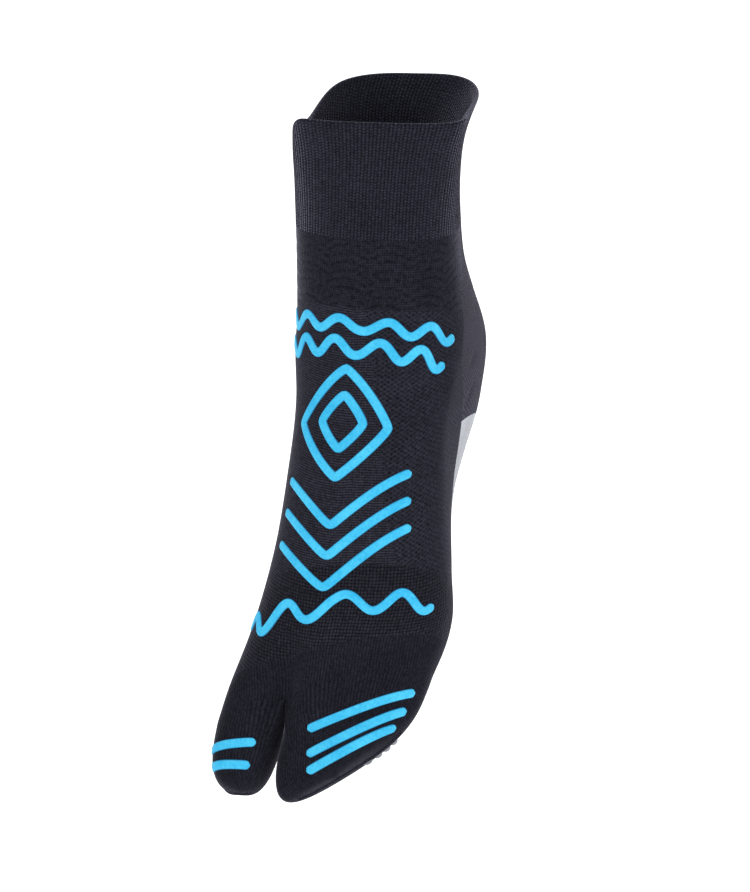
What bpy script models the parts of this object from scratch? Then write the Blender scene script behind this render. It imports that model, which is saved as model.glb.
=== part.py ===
"""Left split-toe grip sock in the form it has when worn, toes pointing down.

Metres, +Z up the leg, origin in the middle of the cuff's mouth, +X to the outer side
of the foot and -Y to its front. The knitted tube is one lofted surface, and each zone
is a patch of it: s runs along the centre line from the mouth, and the angle runs round
it from the outer side (0) over the instep (90) and the inner side (180) to the sole.
"""
import bmesh
import bpy
import numpy as np

# Overall sizes of the tube
LEG_HEIGHT = 0.100
FOOT_LENGTH = 0.245
ANKLE_DEPTH = 0.080
BALL_WIDTH = 0.092
FOOT_PITCH = np.radians(40.0)
LEG_TURN = np.radians(14.0)

# Lengths of the zones that are knitted as courses, along the centre line
CUFF_LENGTH = 0.053
BAND_LENGTH = 0.037
MOUTH_LEAN = 0.13
RIM_DIP = 0.010
RIM_DIP_AT = np.radians(190.0)
RIM_DIP_SPREAD = np.radians(25.0)
RIM_RISE = 0.003
RIM_RISE_AT = np.radians(285.0)
RIM_RISE_SPREAD = np.radians(50.0)

# Toe pockets
BIG_TOE_LENGTH = 0.048
LONG_TOE_LENGTH = 0.058
LITTLE_TOE_LENGTH = 0.0065
CROTCH_WIDTH = 0.007
CROTCH_RUN = 0.030
CROTCH_DEPTH = 0.42
TOE_SPLIT = -0.180

# Knit thickness of each zone
CUFF_WALL = 0.0022
BAND_WALL = 0.0020
JERSEY_WALL = 0.0016
MESH_WALL = 0.0016
HEEL_WALL = 0.0026
ARCH_WALL = 0.0020
SOLE_WALL = 0.0024
TOE_WALL = 0.0018

# Raised pieces
PIECE_GAP = 0.0004
RAISED_GAP = 0.00035
PRINT_WIDTH = 0.0042
PRINT_THICKNESS = 0.0006
SEAM_WIDTH = 0.0022
SEAM_THICKNESS = 0.0010
GRIP_PITCH = 0.0105
EDGE_GRIP_PITCH = 0.0047
GRIP_FILM = 0.0004
GRIP_HEIGHT = 0.0010

# Spacing of the facets
ROW_STEP = 0.0090
COLUMN_STEP = 0.0090
RIBBON_STEP = 0.0050
UPPER_COLUMNS = 15
MESH_COLUMNS = 7
INSTEP_COLUMNS = 9
SOLE_COLUMNS = 21
FORE_SOLE_COLUMNS = 14
POCKET_ROWS = 9
BIG_TOE_COLUMNS = 15
TOES_COLUMNS = 24
TIP_STEP = 0.0032

# One row per section. leg is a share of LEG_HEIGHT, along and rise are shares of
# FOOT_LENGTH, side, medial and lateral are shares of BALL_WIDTH, fore, front and back
# are shares of ANKLE_DEPTH, tilt is a share of FOOT_PITCH and turn of LEG_TURN. slant
# sets the outer side back for the toe line. front_power and back_power round the
# corners: 2 is an ellipse and more is squarer.
SECTION_COLUMNS = ("leg", "along", "rise", "side", "tilt", "turn", "fore", "slant",
                   "front", "back", "medial", "lateral", "front_power", "back_power")
SECTIONS = np.array([
    (0.00, 0.000,  0.000,  0.020, 0.00, 1.00, 0.210, 0.00, 0.210, 0.670, 0.412, 0.402, 3.4, 3.4),
    (0.12, 0.000,  0.000,  0.010, 0.00, 1.00, 0.200, 0.00, 0.210, 0.635, 0.405, 0.385, 3.0, 2.5),
    (0.30, 0.000,  0.000,  0.000, 0.00, 0.95, 0.150, 0.00, 0.250, 0.590, 0.392, 0.378, 2.7, 2.1),
    (0.50, 0.000,  0.000,  0.000, 0.00, 0.80, 0.080, 0.00, 0.310, 0.530, 0.392, 0.375, 2.5, 2.2),
    (0.70, 0.000,  0.000,  0.000, 0.05, 0.60, 0.020, 0.00, 0.368, 0.570, 0.395, 0.385, 2.4, 2.1),
    (0.86, 0.000,  0.000,  0.000, 0.22, 0.35, 0.000, 0.00, 0.393, 0.780, 0.398, 0.404, 2.3, 2.2),
    (1.00, 0.000,  0.000,  0.000, 0.46, 0.15, 0.000, 0.00, 0.420, 1.050, 0.400, 0.420, 2.2, 2.3),
    (1.00, 0.070,  0.000,  0.010, 0.72, 0.05, 0.000, 0.00, 0.338, 1.080, 0.385, 0.422, 2.2, 2.4),
    (1.00, 0.160, -0.030,  0.020, 0.92, 0.00, 0.000, 0.00, 0.330, 0.880, 0.360, 0.390, 2.2, 2.5),
    (1.00, 0.280, -0.090,  0.025, 1.00, 0.00, 0.000, 0.05, 0.400, 0.500, 0.370, 0.400, 2.2, 2.5),
    (1.00, 0.400, -0.150,  0.020, 1.00, 0.00, 0.000, 0.15, 0.400, 0.370, 0.400, 0.435, 2.2, 2.6),
    (1.00, 0.510, -0.200,  0.000, 1.00, 0.00, 0.000, 0.28, 0.340, 0.290, 0.460, 0.480, 2.2, 2.6),
    (1.00, 0.580, -0.225, -0.030, 1.00, 0.00, 0.000, 0.38, 0.290, 0.250, 0.500, 0.485, 2.2, 2.6),
    (1.00, 0.627, -0.245, -0.045, 1.00, 0.00, 0.000, 0.42, 0.250, 0.220, 0.520, 0.460, 2.3, 2.6),
])
COLUMN = {name: i for i, name in enumerate(SECTION_COLUMNS)}

# Angles in degrees of the zones' long borders on the outer side, at shares of the tube
BORDER_COLUMNS = ("share", "sole_edge", "mesh_edge")
BORDERS = np.array([
    (0.19,  -3.0, 88.0),
    (0.26,  -1.0, 88.0),
    (0.33,   5.0, 88.0),
    (0.38,   6.0, 86.0),
    (0.46,  -4.0, 81.0),
    (0.52, -12.5, 77.0),
    (0.60, -14.5, 70.0),
    (0.76, -13.0, 60.0),
    (0.84, -13.0, 54.0),
    (1.00, -14.0, 50.0),
])
# Ends of the zones, as shares of the tube's length
HEEL_MIDDLE_END = 0.46
HEEL_SIDE_END = 0.505
ARCH_END = 0.764
MESH_END = 0.817
TOE_BOX_START = 0.943

# One row per toe pocket: centre, half width and tip offset as shares of BALL_WIDTH,
# top, bottom and tip rise as shares of ANKLE_DEPTH, side is -1 for the inner pocket
POCKET_COLUMNS = ("side", "centre", "wide", "top", "bottom", "tip_side", "tip_rise", "tip_power")
POCKETS = {
    "big_toe": (-1.0, -0.357, 0.160, 0.165, 0.145, -0.364, -0.05, 3.0),
    "toes": (1.0, 0.135, 0.322, 0.155, 0.135, 0.110, -0.05, 3.6),
}
POCKET_POWER = 2.4
POCKET_BLEND = 0.55
ARC_SHARE = 0.8

# The printed pattern. Waves go round the tube at a share of its length, between two
# angles in degrees. Chevrons and diamonds lie over the instep, at shares of the
# section's half width, and hoops over a toe pocket at shares of its length and girth.
WAVE_SWING = 0.0042
WAVES = (("print_ankle_wave_upper", 0.385, 5.0, 20.0, 170.0),
         ("print_ankle_wave_lower", 0.440, 5.0, 26.0, 170.0),
         ("print_forefoot_wave", 0.880, 4.0, 26.0, 160.0))
DIAMOND_LENGTH = 0.052
DIAMOND_CENTRE = (0.580, -0.12)
DIAMONDS = (("print_diamond_outer", 1.0, 0.58), ("print_diamond_inner", 0.5, 0.28))
DIAMOND_POWER = 1.2
CHEVRON_RISE = 0.034
CHEVRON_ENDS = (-0.80, 0.74)
CHEVRON_ROUND = 0.04
CHEVRONS = (("print_chevron_1", 0.758), ("print_chevron_2", 0.806), ("print_chevron_3", 0.854))
HOOPS = (("print_big_toe_hoop_1", "big_toe", 0.20, 0.05, 0.35),
         ("print_big_toe_hoop_2", "big_toe", 0.42, 0.05, 0.35),
         ("print_toes_hoop_1", "toes", 0.12, 0.45, 0.76),
         ("print_toes_hoop_2", "toes", 0.30, 0.45, 0.76),
         ("print_toes_hoop_3", "toes", 0.50, 0.45, 0.76))
CURVE_POINTS = 241
TUBE_PROBE = (0.001, 0.02)
POCKET_PROBE = 0.004

# Seams round the pockets' tips: the girth shares of their two legs and where they start
SEAMS = (("big_toe_seam", "big_toe", 0.50, 0.90, 0.45, 0.80),
         ("toes_seam", "toes", 0.395, 0.90, 0.55, 0.80))
TIP_TURN = 0.99

# Dot fields: shares of the tube's length and of the half width, or shares of a pocket
# along and round it, with the length that each range spans
SOLE_GRIPS = (("heel_grips", 0.43, 0.57, -0.58, 0.58, 0.050, 0.042),
              ("ball_grips", 0.75, 0.885, -0.80, 0.80, 0.045, 0.068))
POCKET_GRIPS = (("big_toe_grips", "big_toe", 0.16, 0.56, 0.58, 0.76, 0.021, 0.019),
                ("toes_grips", "toes", 0.16, 0.52, 0.05, 0.30, 0.021, 0.052))
EDGE_GRIPS = ("toe_edge_grips", "toes", 0.54, 0.91, 0.305, 0.350, 0.021)

KNIT_COLOURS = {
    "rib": (0.021, 0.021, 0.028),
    "band": (0.017, 0.017, 0.024),
    "jersey": (0.022, 0.022, 0.030),
    "mesh": (0.029, 0.029, 0.038),
    "heel": (0.040, 0.040, 0.050),
    "arch": (0.590, 0.610, 0.640),
    "toe": (0.017, 0.017, 0.024),
    "seam": (0.010, 0.010, 0.013),
    "print": (0.060, 0.560, 0.860),
    "silicone": (0.270, 0.285, 0.315),
}


def clear_scene():
    """Removes every object, mesh and material that the file starts with."""
    for thing in list(bpy.data.objects):
        bpy.data.objects.remove(thing, do_unlink=True)
    for block in (bpy.data.meshes, bpy.data.materials):
        for item in list(block):
            block.remove(item)


def material(name, roughness):
    """A Principled material of the named knit, print or silicone colour."""
    made = bpy.data.materials.new(name)
    made.use_nodes = True
    shader = made.node_tree.nodes["Principled BSDF"]
    shader.inputs["Base Color"].default_value = (*KNIT_COLOURS[name], 1.0)
    shader.inputs["Roughness"].default_value = roughness
    shader.inputs["Metallic"].default_value = 0.0
    return made


def smooth_table(stations, values, at):
    """Reads rows of a table at any station along a smooth curve through them."""
    slopes = np.gradient(values, stations, axis=0)
    low = np.clip(np.searchsorted(stations, at, side="right") - 1, 0, len(stations) - 2)
    span = (stations[low + 1] - stations[low])[..., None]
    u = ((at - stations[low])[..., None] / span).clip(0.0, 1.0)
    return ((2 * u**3 - 3 * u**2 + 1) * values[low] + (u**3 - 2 * u**2 + u) * span * slopes[low]
            + (3 * u**2 - 2 * u**3) * values[low + 1] + (u**3 - u**2) * span * slopes[low + 1])


def smooth_step(x):
    """0 below 0, 1 above 1 and an S curve between."""
    x = np.clip(x, 0.0, 1.0)
    return x * x * (3 - 2 * x)


def power(x, exponent):
    """Superellipse coordinate: the sign of x times its size to the 2 / exponent."""
    return np.sign(x) * np.abs(x) ** (2.0 / exponent)


def columns(rows):
    """The table's columns by name."""
    return {name: rows[..., i] for name, i in COLUMN.items()}


def centres(rows):
    """Points of the centre line: down the leg first, then along and across the foot."""
    c = columns(rows)
    ahead = np.array([0, -np.sin(FOOT_PITCH), -np.cos(FOOT_PITCH)])
    above = np.array([0, -np.cos(FOOT_PITCH), np.sin(FOOT_PITCH)])
    start = np.stack([BALL_WIDTH * c["side"], 0 * c["side"], -LEG_HEIGHT * c["leg"]], -1)
    return start + FOOT_LENGTH * (c["along"][..., None] * ahead + c["rise"][..., None] * above)


STEPS = np.linalg.norm(np.diff(centres(SECTIONS), axis=0), axis=1)
STATIONS = np.concatenate([[0.0], np.cumsum(STEPS)])
TUBE_LENGTH = STATIONS[-1]


def outline(rows, angle, inset, crotch):
    """Across and dorsal coordinates of a section, pinched where the toes part."""
    c = columns(rows)
    cosine, sine = np.cos(angle), np.sin(angle)
    corner = np.where(sine >= 0, c["front_power"], c["back_power"])
    half_wide = np.where(cosine >= 0, c["lateral"], c["medial"]) * BALL_WIDTH - inset
    half_high = np.where(sine >= 0, c["front"], c["back"]) * ANKLE_DEPTH
    x = half_wide * power(cosine, corner)
    valley = np.exp(-((x - TOE_SPLIT * BALL_WIDTH) / CROTCH_WIDTH) ** 2)
    h = (half_high * (1 - crotch * CROTCH_DEPTH * valley) - inset) * power(sine, corner)
    lean = MOUTH_LEAN * np.clip(1 - c["leg"] / 0.3, 0, 1) ** 2
    return x + lean * np.clip(-h, 0, None), h + c["fore"] * ANKLE_DEPTH


def place(rows, x, h, ahead):
    """World point of across, dorsal and forward coordinates in each section's frame."""
    c = columns(rows)
    tilt, turn = c["tilt"] * FOOT_PITCH, c["turn"] * LEG_TURN
    forward = -np.cos(tilt) * h - np.sin(tilt) * ahead
    upward = np.sin(tilt) * h - np.cos(tilt) * ahead
    across = np.cos(turn) * x - np.sin(turn) * forward
    forward = np.sin(turn) * x + np.cos(turn) * forward
    return centres(rows) + np.stack([across, forward, upward], -1)


def lobe(angle, middle, spread):
    """1 at the middle angle, falling smoothly to 0 on both sides of it."""
    off = np.mod(angle - middle + np.pi, 2 * np.pi) - np.pi
    return np.exp(-((off / spread) ** 2))


def tube(s, angle, inset=0.0):
    """Point of the sock's tube, inset from its outer face by a knit thickness."""
    rows = smooth_table(STATIONS, SECTIONS, s)
    near_toes = smooth_step(1 - (TUBE_LENGTH - s) / CROTCH_RUN)
    x, h = outline(rows, angle, inset, near_toes)
    point = place(rows, x, h, -columns(rows)["slant"] * x)
    mouth = np.clip(1 - s / CUFF_LENGTH, 0, 1) ** 2
    rise = RIM_RISE * lobe(angle, RIM_RISE_AT, RIM_RISE_SPREAD)
    dip = RIM_DIP * lobe(angle, RIM_DIP_AT, RIM_DIP_SPREAD)
    point[..., 2] += mouth * (rise - dip)
    return point


def split_angles(across, inset=0.0):
    """Angles of the last section, over and under the foot, at a place across it."""
    end = columns(SECTIONS[-1])
    reach = np.abs(across) / (end["medial"] * BALL_WIDTH - inset)
    return (np.pi - np.arccos(reach ** (end["front_power"] / 2)),
            np.pi + np.arccos(reach ** (end["back_power"] / 2)))


def pocket(which, t, v, inset=0.0):
    """Point of a toe pocket: t runs from the crotch section to the tip, v round it.

    The base is the tube's last section cut off by a straight wall at the split, and it
    blends into a superellipse that closes on a rounded tip.
    """
    p = dict(zip(POCKET_COLUMNS, POCKETS[which]))
    last = SECTIONS[-1]
    end = columns(last)
    t, v = np.broadcast_arrays(t, v)
    wall_x = TOE_SPLIT * BALL_WIDTH + p["side"] * (PIECE_GAP / 2 + inset)
    top, bottom = split_angles(wall_x, inset)
    first, final = (top, bottom) if p["side"] < 0 else (bottom, top + 2 * np.pi)
    rows = np.broadcast_to(last, v.shape + last.shape)
    arc = first + (final - first) * np.clip(v / ARC_SHARE, 0, 1)
    x, h = outline(rows, arc, inset, 1.0)
    rim = np.broadcast_to(last, (2,) + last.shape)
    from_h, to_h = outline(rim, np.array([final, first]), inset, 1.0)[1]
    wall = np.clip((v - ARC_SHARE) / (1 - ARC_SHARE), 0, 1)
    x = np.where(v > ARC_SHARE, wall_x, x)
    h = np.where(v > ARC_SHARE, from_h + (to_h - from_h) * wall, h)
    centre = p["centre"] * BALL_WIDTH
    theta = np.arctan2(h / (p["top"] * ANKLE_DEPTH), (x - centre) / (p["wide"] * BALL_WIDTH))
    cosine, sine = np.cos(theta), np.sin(theta)
    round_x = (p["wide"] * BALL_WIDTH - inset) * power(cosine, POCKET_POWER)
    high = np.where(sine >= 0, p["top"], p["bottom"]) * ANKLE_DEPTH - inset
    round_h = high * power(sine, POCKET_POWER)
    along = np.sin(t * np.pi / 2) ** (2 / p["tip_power"])
    size = np.clip(np.cos(t * np.pi / 2), 0, 1) ** (2 / p["tip_power"])
    blend = smooth_step(along / POCKET_BLEND)
    px = centre + (p["tip_side"] * BALL_WIDTH - centre) * along
    px = px + size * ((x - centre) * (1 - blend) + round_x * blend)
    ph = p["tip_rise"] * ANKLE_DEPTH * along + size * (h * (1 - blend) + round_h * blend)
    if p["side"] < 0:
        length = BIG_TOE_LENGTH
    else:
        outward = (px - TOE_SPLIT * BALL_WIDTH) / (2 * p["wide"] * BALL_WIDTH)
        fall = np.clip(outward, -0.3, 1.3)
        length = LONG_TOE_LENGTH + (LITTLE_TOE_LENGTH - LONG_TOE_LENGTH) * fall
    ahead = PIECE_GAP / 2 + along * (length - inset) - (1 - along) * end["slant"] * px
    rows = np.broadcast_to(last, px.shape + last.shape)
    return place(rows, px, ph, ahead)


def normal_of(surface, a, b, step_a, step_b):
    """Outward unit normal of a surface of two parameters, from small differences."""
    along = surface(a + step_a, b) - surface(a - step_a, b)
    round_it = surface(a, b + step_b) - surface(a, b - step_b)
    n = np.cross(round_it, along)
    return n / np.linalg.norm(n, axis=-1, keepdims=True)


def grid_faces(rows, cols, wrap, first):
    """Quads of a grid whose points start at the index first."""
    index = first + np.arange(rows * cols).reshape(rows, cols)
    if wrap:
        index = np.concatenate([index, index[:, :1]], 1)
    corners = (index[:-1, :-1], index[:-1, 1:], index[1:, 1:], index[1:, :-1])
    return np.stack([c.ravel() for c in corners], -1), index


def shell(name, outer, inner, mat, wrap=False, tip=False):
    """One closed body between an outer and an inner grid of the same size.

    wrap joins the last column to the first, and tip closes the last row on a point.
    """
    rows, cols = outer.shape[:2]
    outside, o = grid_faces(rows, cols, wrap, 0)
    inside, i = grid_faces(rows, cols, wrap, rows * cols)
    faces = [outside, inside[:, ::-1]]
    faces.append(np.stack([o[0, 1:], o[0, :-1], i[0, :-1], i[0, 1:]], -1))
    if not tip:
        faces.append(np.stack([o[-1, :-1], o[-1, 1:], i[-1, 1:], i[-1, :-1]], -1))
    if not wrap:
        faces.append(np.stack([o[:-1, 0], o[1:, 0], i[1:, 0], i[:-1, 0]], -1))
        faces.append(np.stack([o[1:, -1], o[:-1, -1], i[:-1, -1], i[1:, -1]], -1))
    points = np.concatenate([outer.reshape(-1, 3), inner.reshape(-1, 3)])
    mesh = bpy.data.meshes.new(name)
    mesh.from_pydata(points.tolist(), [], np.concatenate(faces).tolist())
    if tip:
        work = bmesh.new()
        work.from_mesh(mesh)
        bmesh.ops.remove_doubles(work, verts=work.verts, dist=1e-6)
        work.to_mesh(mesh)
        work.free()
    mesh.shade_smooth()
    mesh.set_sharp_from_angle(angle=np.radians(50.0))
    mesh.materials.append(mat)
    made = bpy.data.objects.new(name, mesh)
    bpy.context.scene.collection.objects.link(made)
    return made


def border(s, column):
    """Angle of a long border at each station."""
    k = BORDER_COLUMNS.index(column)
    shares = BORDERS[:, 0]
    at = np.clip(s / TUBE_LENGTH, shares[0], shares[-1])
    return np.radians(smooth_table(shares, BORDERS[:, k:k + 1], at)[..., 0])


def sole_edge_out(s):
    """Border between the upper and the sole on the outer side."""
    return border(s, "sole_edge")


def sole_edge_in(s):
    """Border between the upper and the sole on the inner side, a mirror of the outer."""
    return np.pi - border(s, "sole_edge")


def mesh_edge(s):
    """Border between the outer mesh panel and the instep."""
    return border(s, "mesh_edge")


def whole_turn(s):
    """The sole edge of the outer side, one turn further on."""
    return 2 * np.pi + border(s, "sole_edge")


def heel_end(share):
    """Lower edge of the heel, which drops lower at both of its sides."""
    side = HEEL_MIDDLE_END + (HEEL_SIDE_END - HEEL_MIDDLE_END) * np.abs(2 * share - 1) ** 4
    return side * TUBE_LENGTH


def trim(s, angle):
    """Angle that half the gap between two pieces spans at this point of the tube."""
    probe = TUBE_PROBE[1] / 2
    speed = np.linalg.norm(tube(s, angle + probe) - tube(s, angle - probe), axis=-1) / (2 * probe)
    return PIECE_GAP / 2 / speed


def course_lines():
    """Stations of the facet rows that all zones share, so that their borders run alike."""
    marks = np.sort([0.0, CUFF_LENGTH, CUFF_LENGTH + BAND_LENGTH, HEEL_SIDE_END * TUBE_LENGTH,
                     ARCH_END * TUBE_LENGTH, MESH_END * TUBE_LENGTH,
                     TOE_BOX_START * TUBE_LENGTH, TUBE_LENGTH])
    lines = [marks[:1]]
    for low, high in zip(marks[:-1], marks[1:]):
        lines.append(np.linspace(low, high, int(np.ceil((high - low) / ROW_STEP)) + 1)[1:])
    return np.concatenate(lines)


def rows_between(start, end):
    """Shares of the way from start to end at which a zone has its rows."""
    lines = course_lines()
    clear = ROW_STEP / 4
    inside = lines[(lines > start + clear) & (lines < end - clear)]
    first, last = start + PIECE_GAP / 2, end - PIECE_GAP / 2
    return np.concatenate([[0.0], (inside - first) / (last - first), [1.0]])


def panel(name, starts, ends, low, high, cols, wall, mat):
    """A zone of the tube between two course lines and two long borders.

    Zones that meet on a curved course line have the same number of columns.
    """
    start, end = float(starts(0.0)), float(ends(0.0))
    u = rows_between(start, end)[:, None]
    v = np.linspace(0, 1, cols)[None, :]
    first, last = starts(v) + PIECE_GAP / 2, ends(v) - PIECE_GAP / 2
    s = first + (last - first) * u
    a, b = low(s), high(s)
    a, b = a + trim(s, a), b - trim(s, b)
    angle = a + (b - a) * v
    return shell(name, tube(s, angle), tube(s, angle, wall), mat)


def even_angles(s):
    """Angles all round the tube at even steps."""
    sweep = np.linspace(0, 2 * np.pi, 60)
    run = np.linalg.norm(np.diff(tube(s + 0 * sweep, sweep), axis=0), axis=1).sum()
    count = int(np.ceil(run / COLUMN_STEP))
    return np.arange(count) * 2 * np.pi / count


def toe_angles():
    """Angles round the last section, with a point at each side of the toes' split."""
    top, bottom = split_angles(TOE_SPLIT * BALL_WIDTH)
    return np.concatenate([np.linspace(top, bottom, BIG_TOE_COLUMNS)[:-1],
                           np.linspace(bottom, top + 2 * np.pi, TOES_COLUMNS)[:-1]])


def ring(name, start, end, angles, wall, mat):
    """A zone that goes all the way round the tube."""
    rows = max(3, int(np.ceil((end - start) / ROW_STEP)) + 1)
    first = start + PIECE_GAP / 2 if start > 0 else 0.0
    s = np.linspace(first, end - PIECE_GAP / 2, rows)[:, None]
    s, angle = np.broadcast_arrays(s, angles[None, :])
    return shell(name, tube(s, angle), tube(s, angle, wall), mat, wrap=True)


def toe_pocket(name, which, cols, mat):
    """A closed toe pocket, hollow and open to the foot."""
    t = np.linspace(0, 1, POCKET_ROWS)[:, None]
    arc = np.linspace(0, ARC_SHARE, cols)
    wall = np.linspace(ARC_SHARE, 1, 5)[1:-1]
    v = np.concatenate([arc, [ARC_SHARE + 1e-6], wall, [1.0 - 1e-6]])
    v = np.delete(v, cols)
    t, v = np.broadcast_arrays(t, v[None, :])
    outer, inner = pocket(which, t, v), pocket(which, t, v, TOE_WALL)
    return shell(name, outer, inner, mat, wrap=True, tip=True)


def ribbon(name, path, normal, width, thickness, mat, closed=False):
    """A raised band of one width along a path that lies on the knit."""
    if closed:
        ahead = np.roll(path, -1, 0) - np.roll(path, 1, 0)
    else:
        ahead = np.gradient(path, axis=0)
    side = np.cross(normal, ahead)
    side /= np.linalg.norm(side, axis=1, keepdims=True)
    low, high = RAISED_GAP, RAISED_GAP + thickness
    left, right = path - side * width / 2, path + side * width / 2
    outer = np.stack([left + normal * high, right + normal * high])
    inner = np.stack([left + normal * low, right + normal * low])
    return shell(name, outer, inner, mat, wrap=closed)


def even_steps(surface, a, b, step, closed=False):
    """Parameters of evenly spaced points along a curve on a surface."""
    points = surface(a, b)
    run = np.concatenate([[0.0], np.cumsum(np.linalg.norm(np.diff(points, axis=0), axis=1))])
    count = max(3, int(np.ceil(run[-1] / step)) + 1)
    at = np.linspace(0, run[-1], count)
    at = at[:-1] if closed else at
    return np.interp(at, run, a), np.interp(at, run, b)


def tube_ribbon(name, s, angle, mat, closed=False):
    """A printed ribbon along a curve on the tube."""
    s, angle = even_steps(tube, s, angle, RIBBON_STEP, closed)
    normal = normal_of(tube, s, angle, *TUBE_PROBE)
    return ribbon(name, tube(s, angle), normal, PRINT_WIDTH, PRINT_THICKNESS, mat, closed)


def angle_across(s, across):
    """Angle on the instep side of a point at a share of the section's half width."""
    rows = smooth_table(STATIONS, SECTIONS, s)
    corner = columns(rows)["front_power"]
    return np.arccos(np.clip(np.sign(across) * np.abs(across) ** (corner / 2), -1, 1))


def add_print(mat):
    """The printed pattern on the tube: waves, nested diamonds and chevrons."""
    u = np.linspace(0, 1, CURVE_POINTS)
    for name, share, count, low, high in WAVES:
        s = share * TUBE_LENGTH + WAVE_SWING * np.sin(2 * np.pi * count * u)
        tube_ribbon(name, s, np.radians(low + (high - low) * u), mat)
    for name, size, half_width in DIAMONDS:
        along = power(np.sin(2 * np.pi * u), DIAMOND_POWER)
        across = DIAMOND_CENTRE[1] + half_width * power(np.cos(2 * np.pi * u), DIAMOND_POWER)
        s = DIAMOND_CENTRE[0] * TUBE_LENGTH + size * DIAMOND_LENGTH / 2 * along
        tube_ribbon(name, s, angle_across(s, across), mat, closed=True)
    across = np.linspace(*CHEVRON_ENDS, CURVE_POINTS)
    arm = np.hypot(across - DIAMOND_CENTRE[1], CHEVRON_ROUND)
    for name, share in CHEVRONS:
        s = share * TUBE_LENGTH - CHEVRON_RISE * arm
        tube_ribbon(name, s, angle_across(s, across), mat)


def pocket_surface(which):
    """The named pocket as a surface of two parameters."""
    return lambda t, v: pocket(which, t, v)


def add_hoops(mat):
    """Printed hoops over the toe pockets."""
    u = np.linspace(0, 1, CURVE_POINTS)
    for name, which, share, low, high in HOOPS:
        surface = pocket_surface(which)
        t, v = even_steps(surface, share + 0 * u, low + (high - low) * u, RIBBON_STEP)
        normal = normal_of(surface, t, v, POCKET_PROBE, POCKET_PROBE)
        ribbon(name, surface(t, v), normal, PRINT_WIDTH, PRINT_THICKNESS, mat)


def edge_seam(name, which, start_v, end_v, from_t, to_t, mat):
    """The linking seam: a raised cord that runs round the pocket's edge and over its tip."""
    half = np.linspace(0, 1, CURVE_POINTS)
    t = np.concatenate([from_t + (TIP_TURN - from_t) * half, TIP_TURN + (to_t - TIP_TURN) * half])
    v = np.concatenate([start_v + 0 * half, end_v + 0 * half])
    surface = pocket_surface(which)
    points = surface(t, v)
    normal = normal_of(surface, t, v, POCKET_PROBE, POCKET_PROBE)
    run = np.concatenate([[0.0], np.cumsum(np.linalg.norm(np.diff(points, axis=0), axis=1))])
    at = np.linspace(0, run[-1], int(np.ceil(run[-1] / TIP_STEP)) + 1)
    path = np.stack([np.interp(at, run, points[:, k]) for k in range(3)], -1)
    normal = np.stack([np.interp(at, run, normal[:, k]) for k in range(3)], -1)
    normal /= np.linalg.norm(normal, axis=1, keepdims=True)
    return ribbon(name, path, normal, SEAM_WIDTH, SEAM_THICKNESS, mat)


def knobs(count):
    """Shares and heights of the lines that cross a row of dots: foot, top, top, foot."""
    cell = np.arange(count)[:, None]
    at = np.append((cell + np.array([0.0, 0.28, 0.72])).ravel(), count) / count
    up = np.append(np.tile([0.0, 1.0, 1.0], count), 0.0)
    return at, up


def grip_field(name, surface, a_range, b_range, counts, steps, mat):
    """A silicone film with a raised dot in each cell, on a patch of a surface."""
    at_a, up_a = knobs(counts[0])
    at_b, up_b = knobs(counts[1])
    a = (a_range[0] + (a_range[1] - a_range[0]) * at_a)[:, None] + 0 * at_b[None, :]
    b = (b_range[0] + (b_range[1] - b_range[0]) * at_b)[None, :] + 0 * at_a[:, None]
    point = surface(a, b)
    normal = normal_of(surface, a, b, *steps)
    rise = (up_a[:, None] * up_b[None, :])[..., None]
    outer = point + normal * (RAISED_GAP + GRIP_FILM + GRIP_HEIGHT * rise)
    return shell(name, outer, point + normal * RAISED_GAP, mat)


def sole_surface(s, across):
    """Point of the sole side at a share of the section's half width."""
    rows = smooth_table(STATIONS, SECTIONS, s)
    corner = columns(rows)["back_power"]
    return tube(s, -np.arccos(np.clip(np.sign(across) * np.abs(across) ** (corner / 2), -1, 1)))


def add_grips(mat):
    """Dot fields under the heel, the ball and the toes, and a row on the toes' edge."""
    def count(length, pitch):
        return max(1, round(length / pitch))
    sole_probe = (TUBE_PROBE[0], TUBE_PROBE[1] / 2)
    for name, s0, s1, low, high, length, width in SOLE_GRIPS:
        dots = count(length, GRIP_PITCH), count(width, GRIP_PITCH)
        grip_field(name, sole_surface, (s0 * TUBE_LENGTH, s1 * TUBE_LENGTH), (low, high),
                   dots, sole_probe, mat)
    for name, which, t0, t1, low, high, length, width in POCKET_GRIPS:
        dots = count(length, GRIP_PITCH), count(width, GRIP_PITCH)
        grip_field(name, pocket_surface(which), (t0, t1), (low, high), dots,
                   (POCKET_PROBE, POCKET_PROBE), mat)
    name, which, t0, t1, low, high, length = EDGE_GRIPS
    grip_field(name, pocket_surface(which), (t0, t1), (low, high),
               (count(length, EDGE_GRIP_PITCH), 1), (POCKET_PROBE, POCKET_PROBE), mat)


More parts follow.
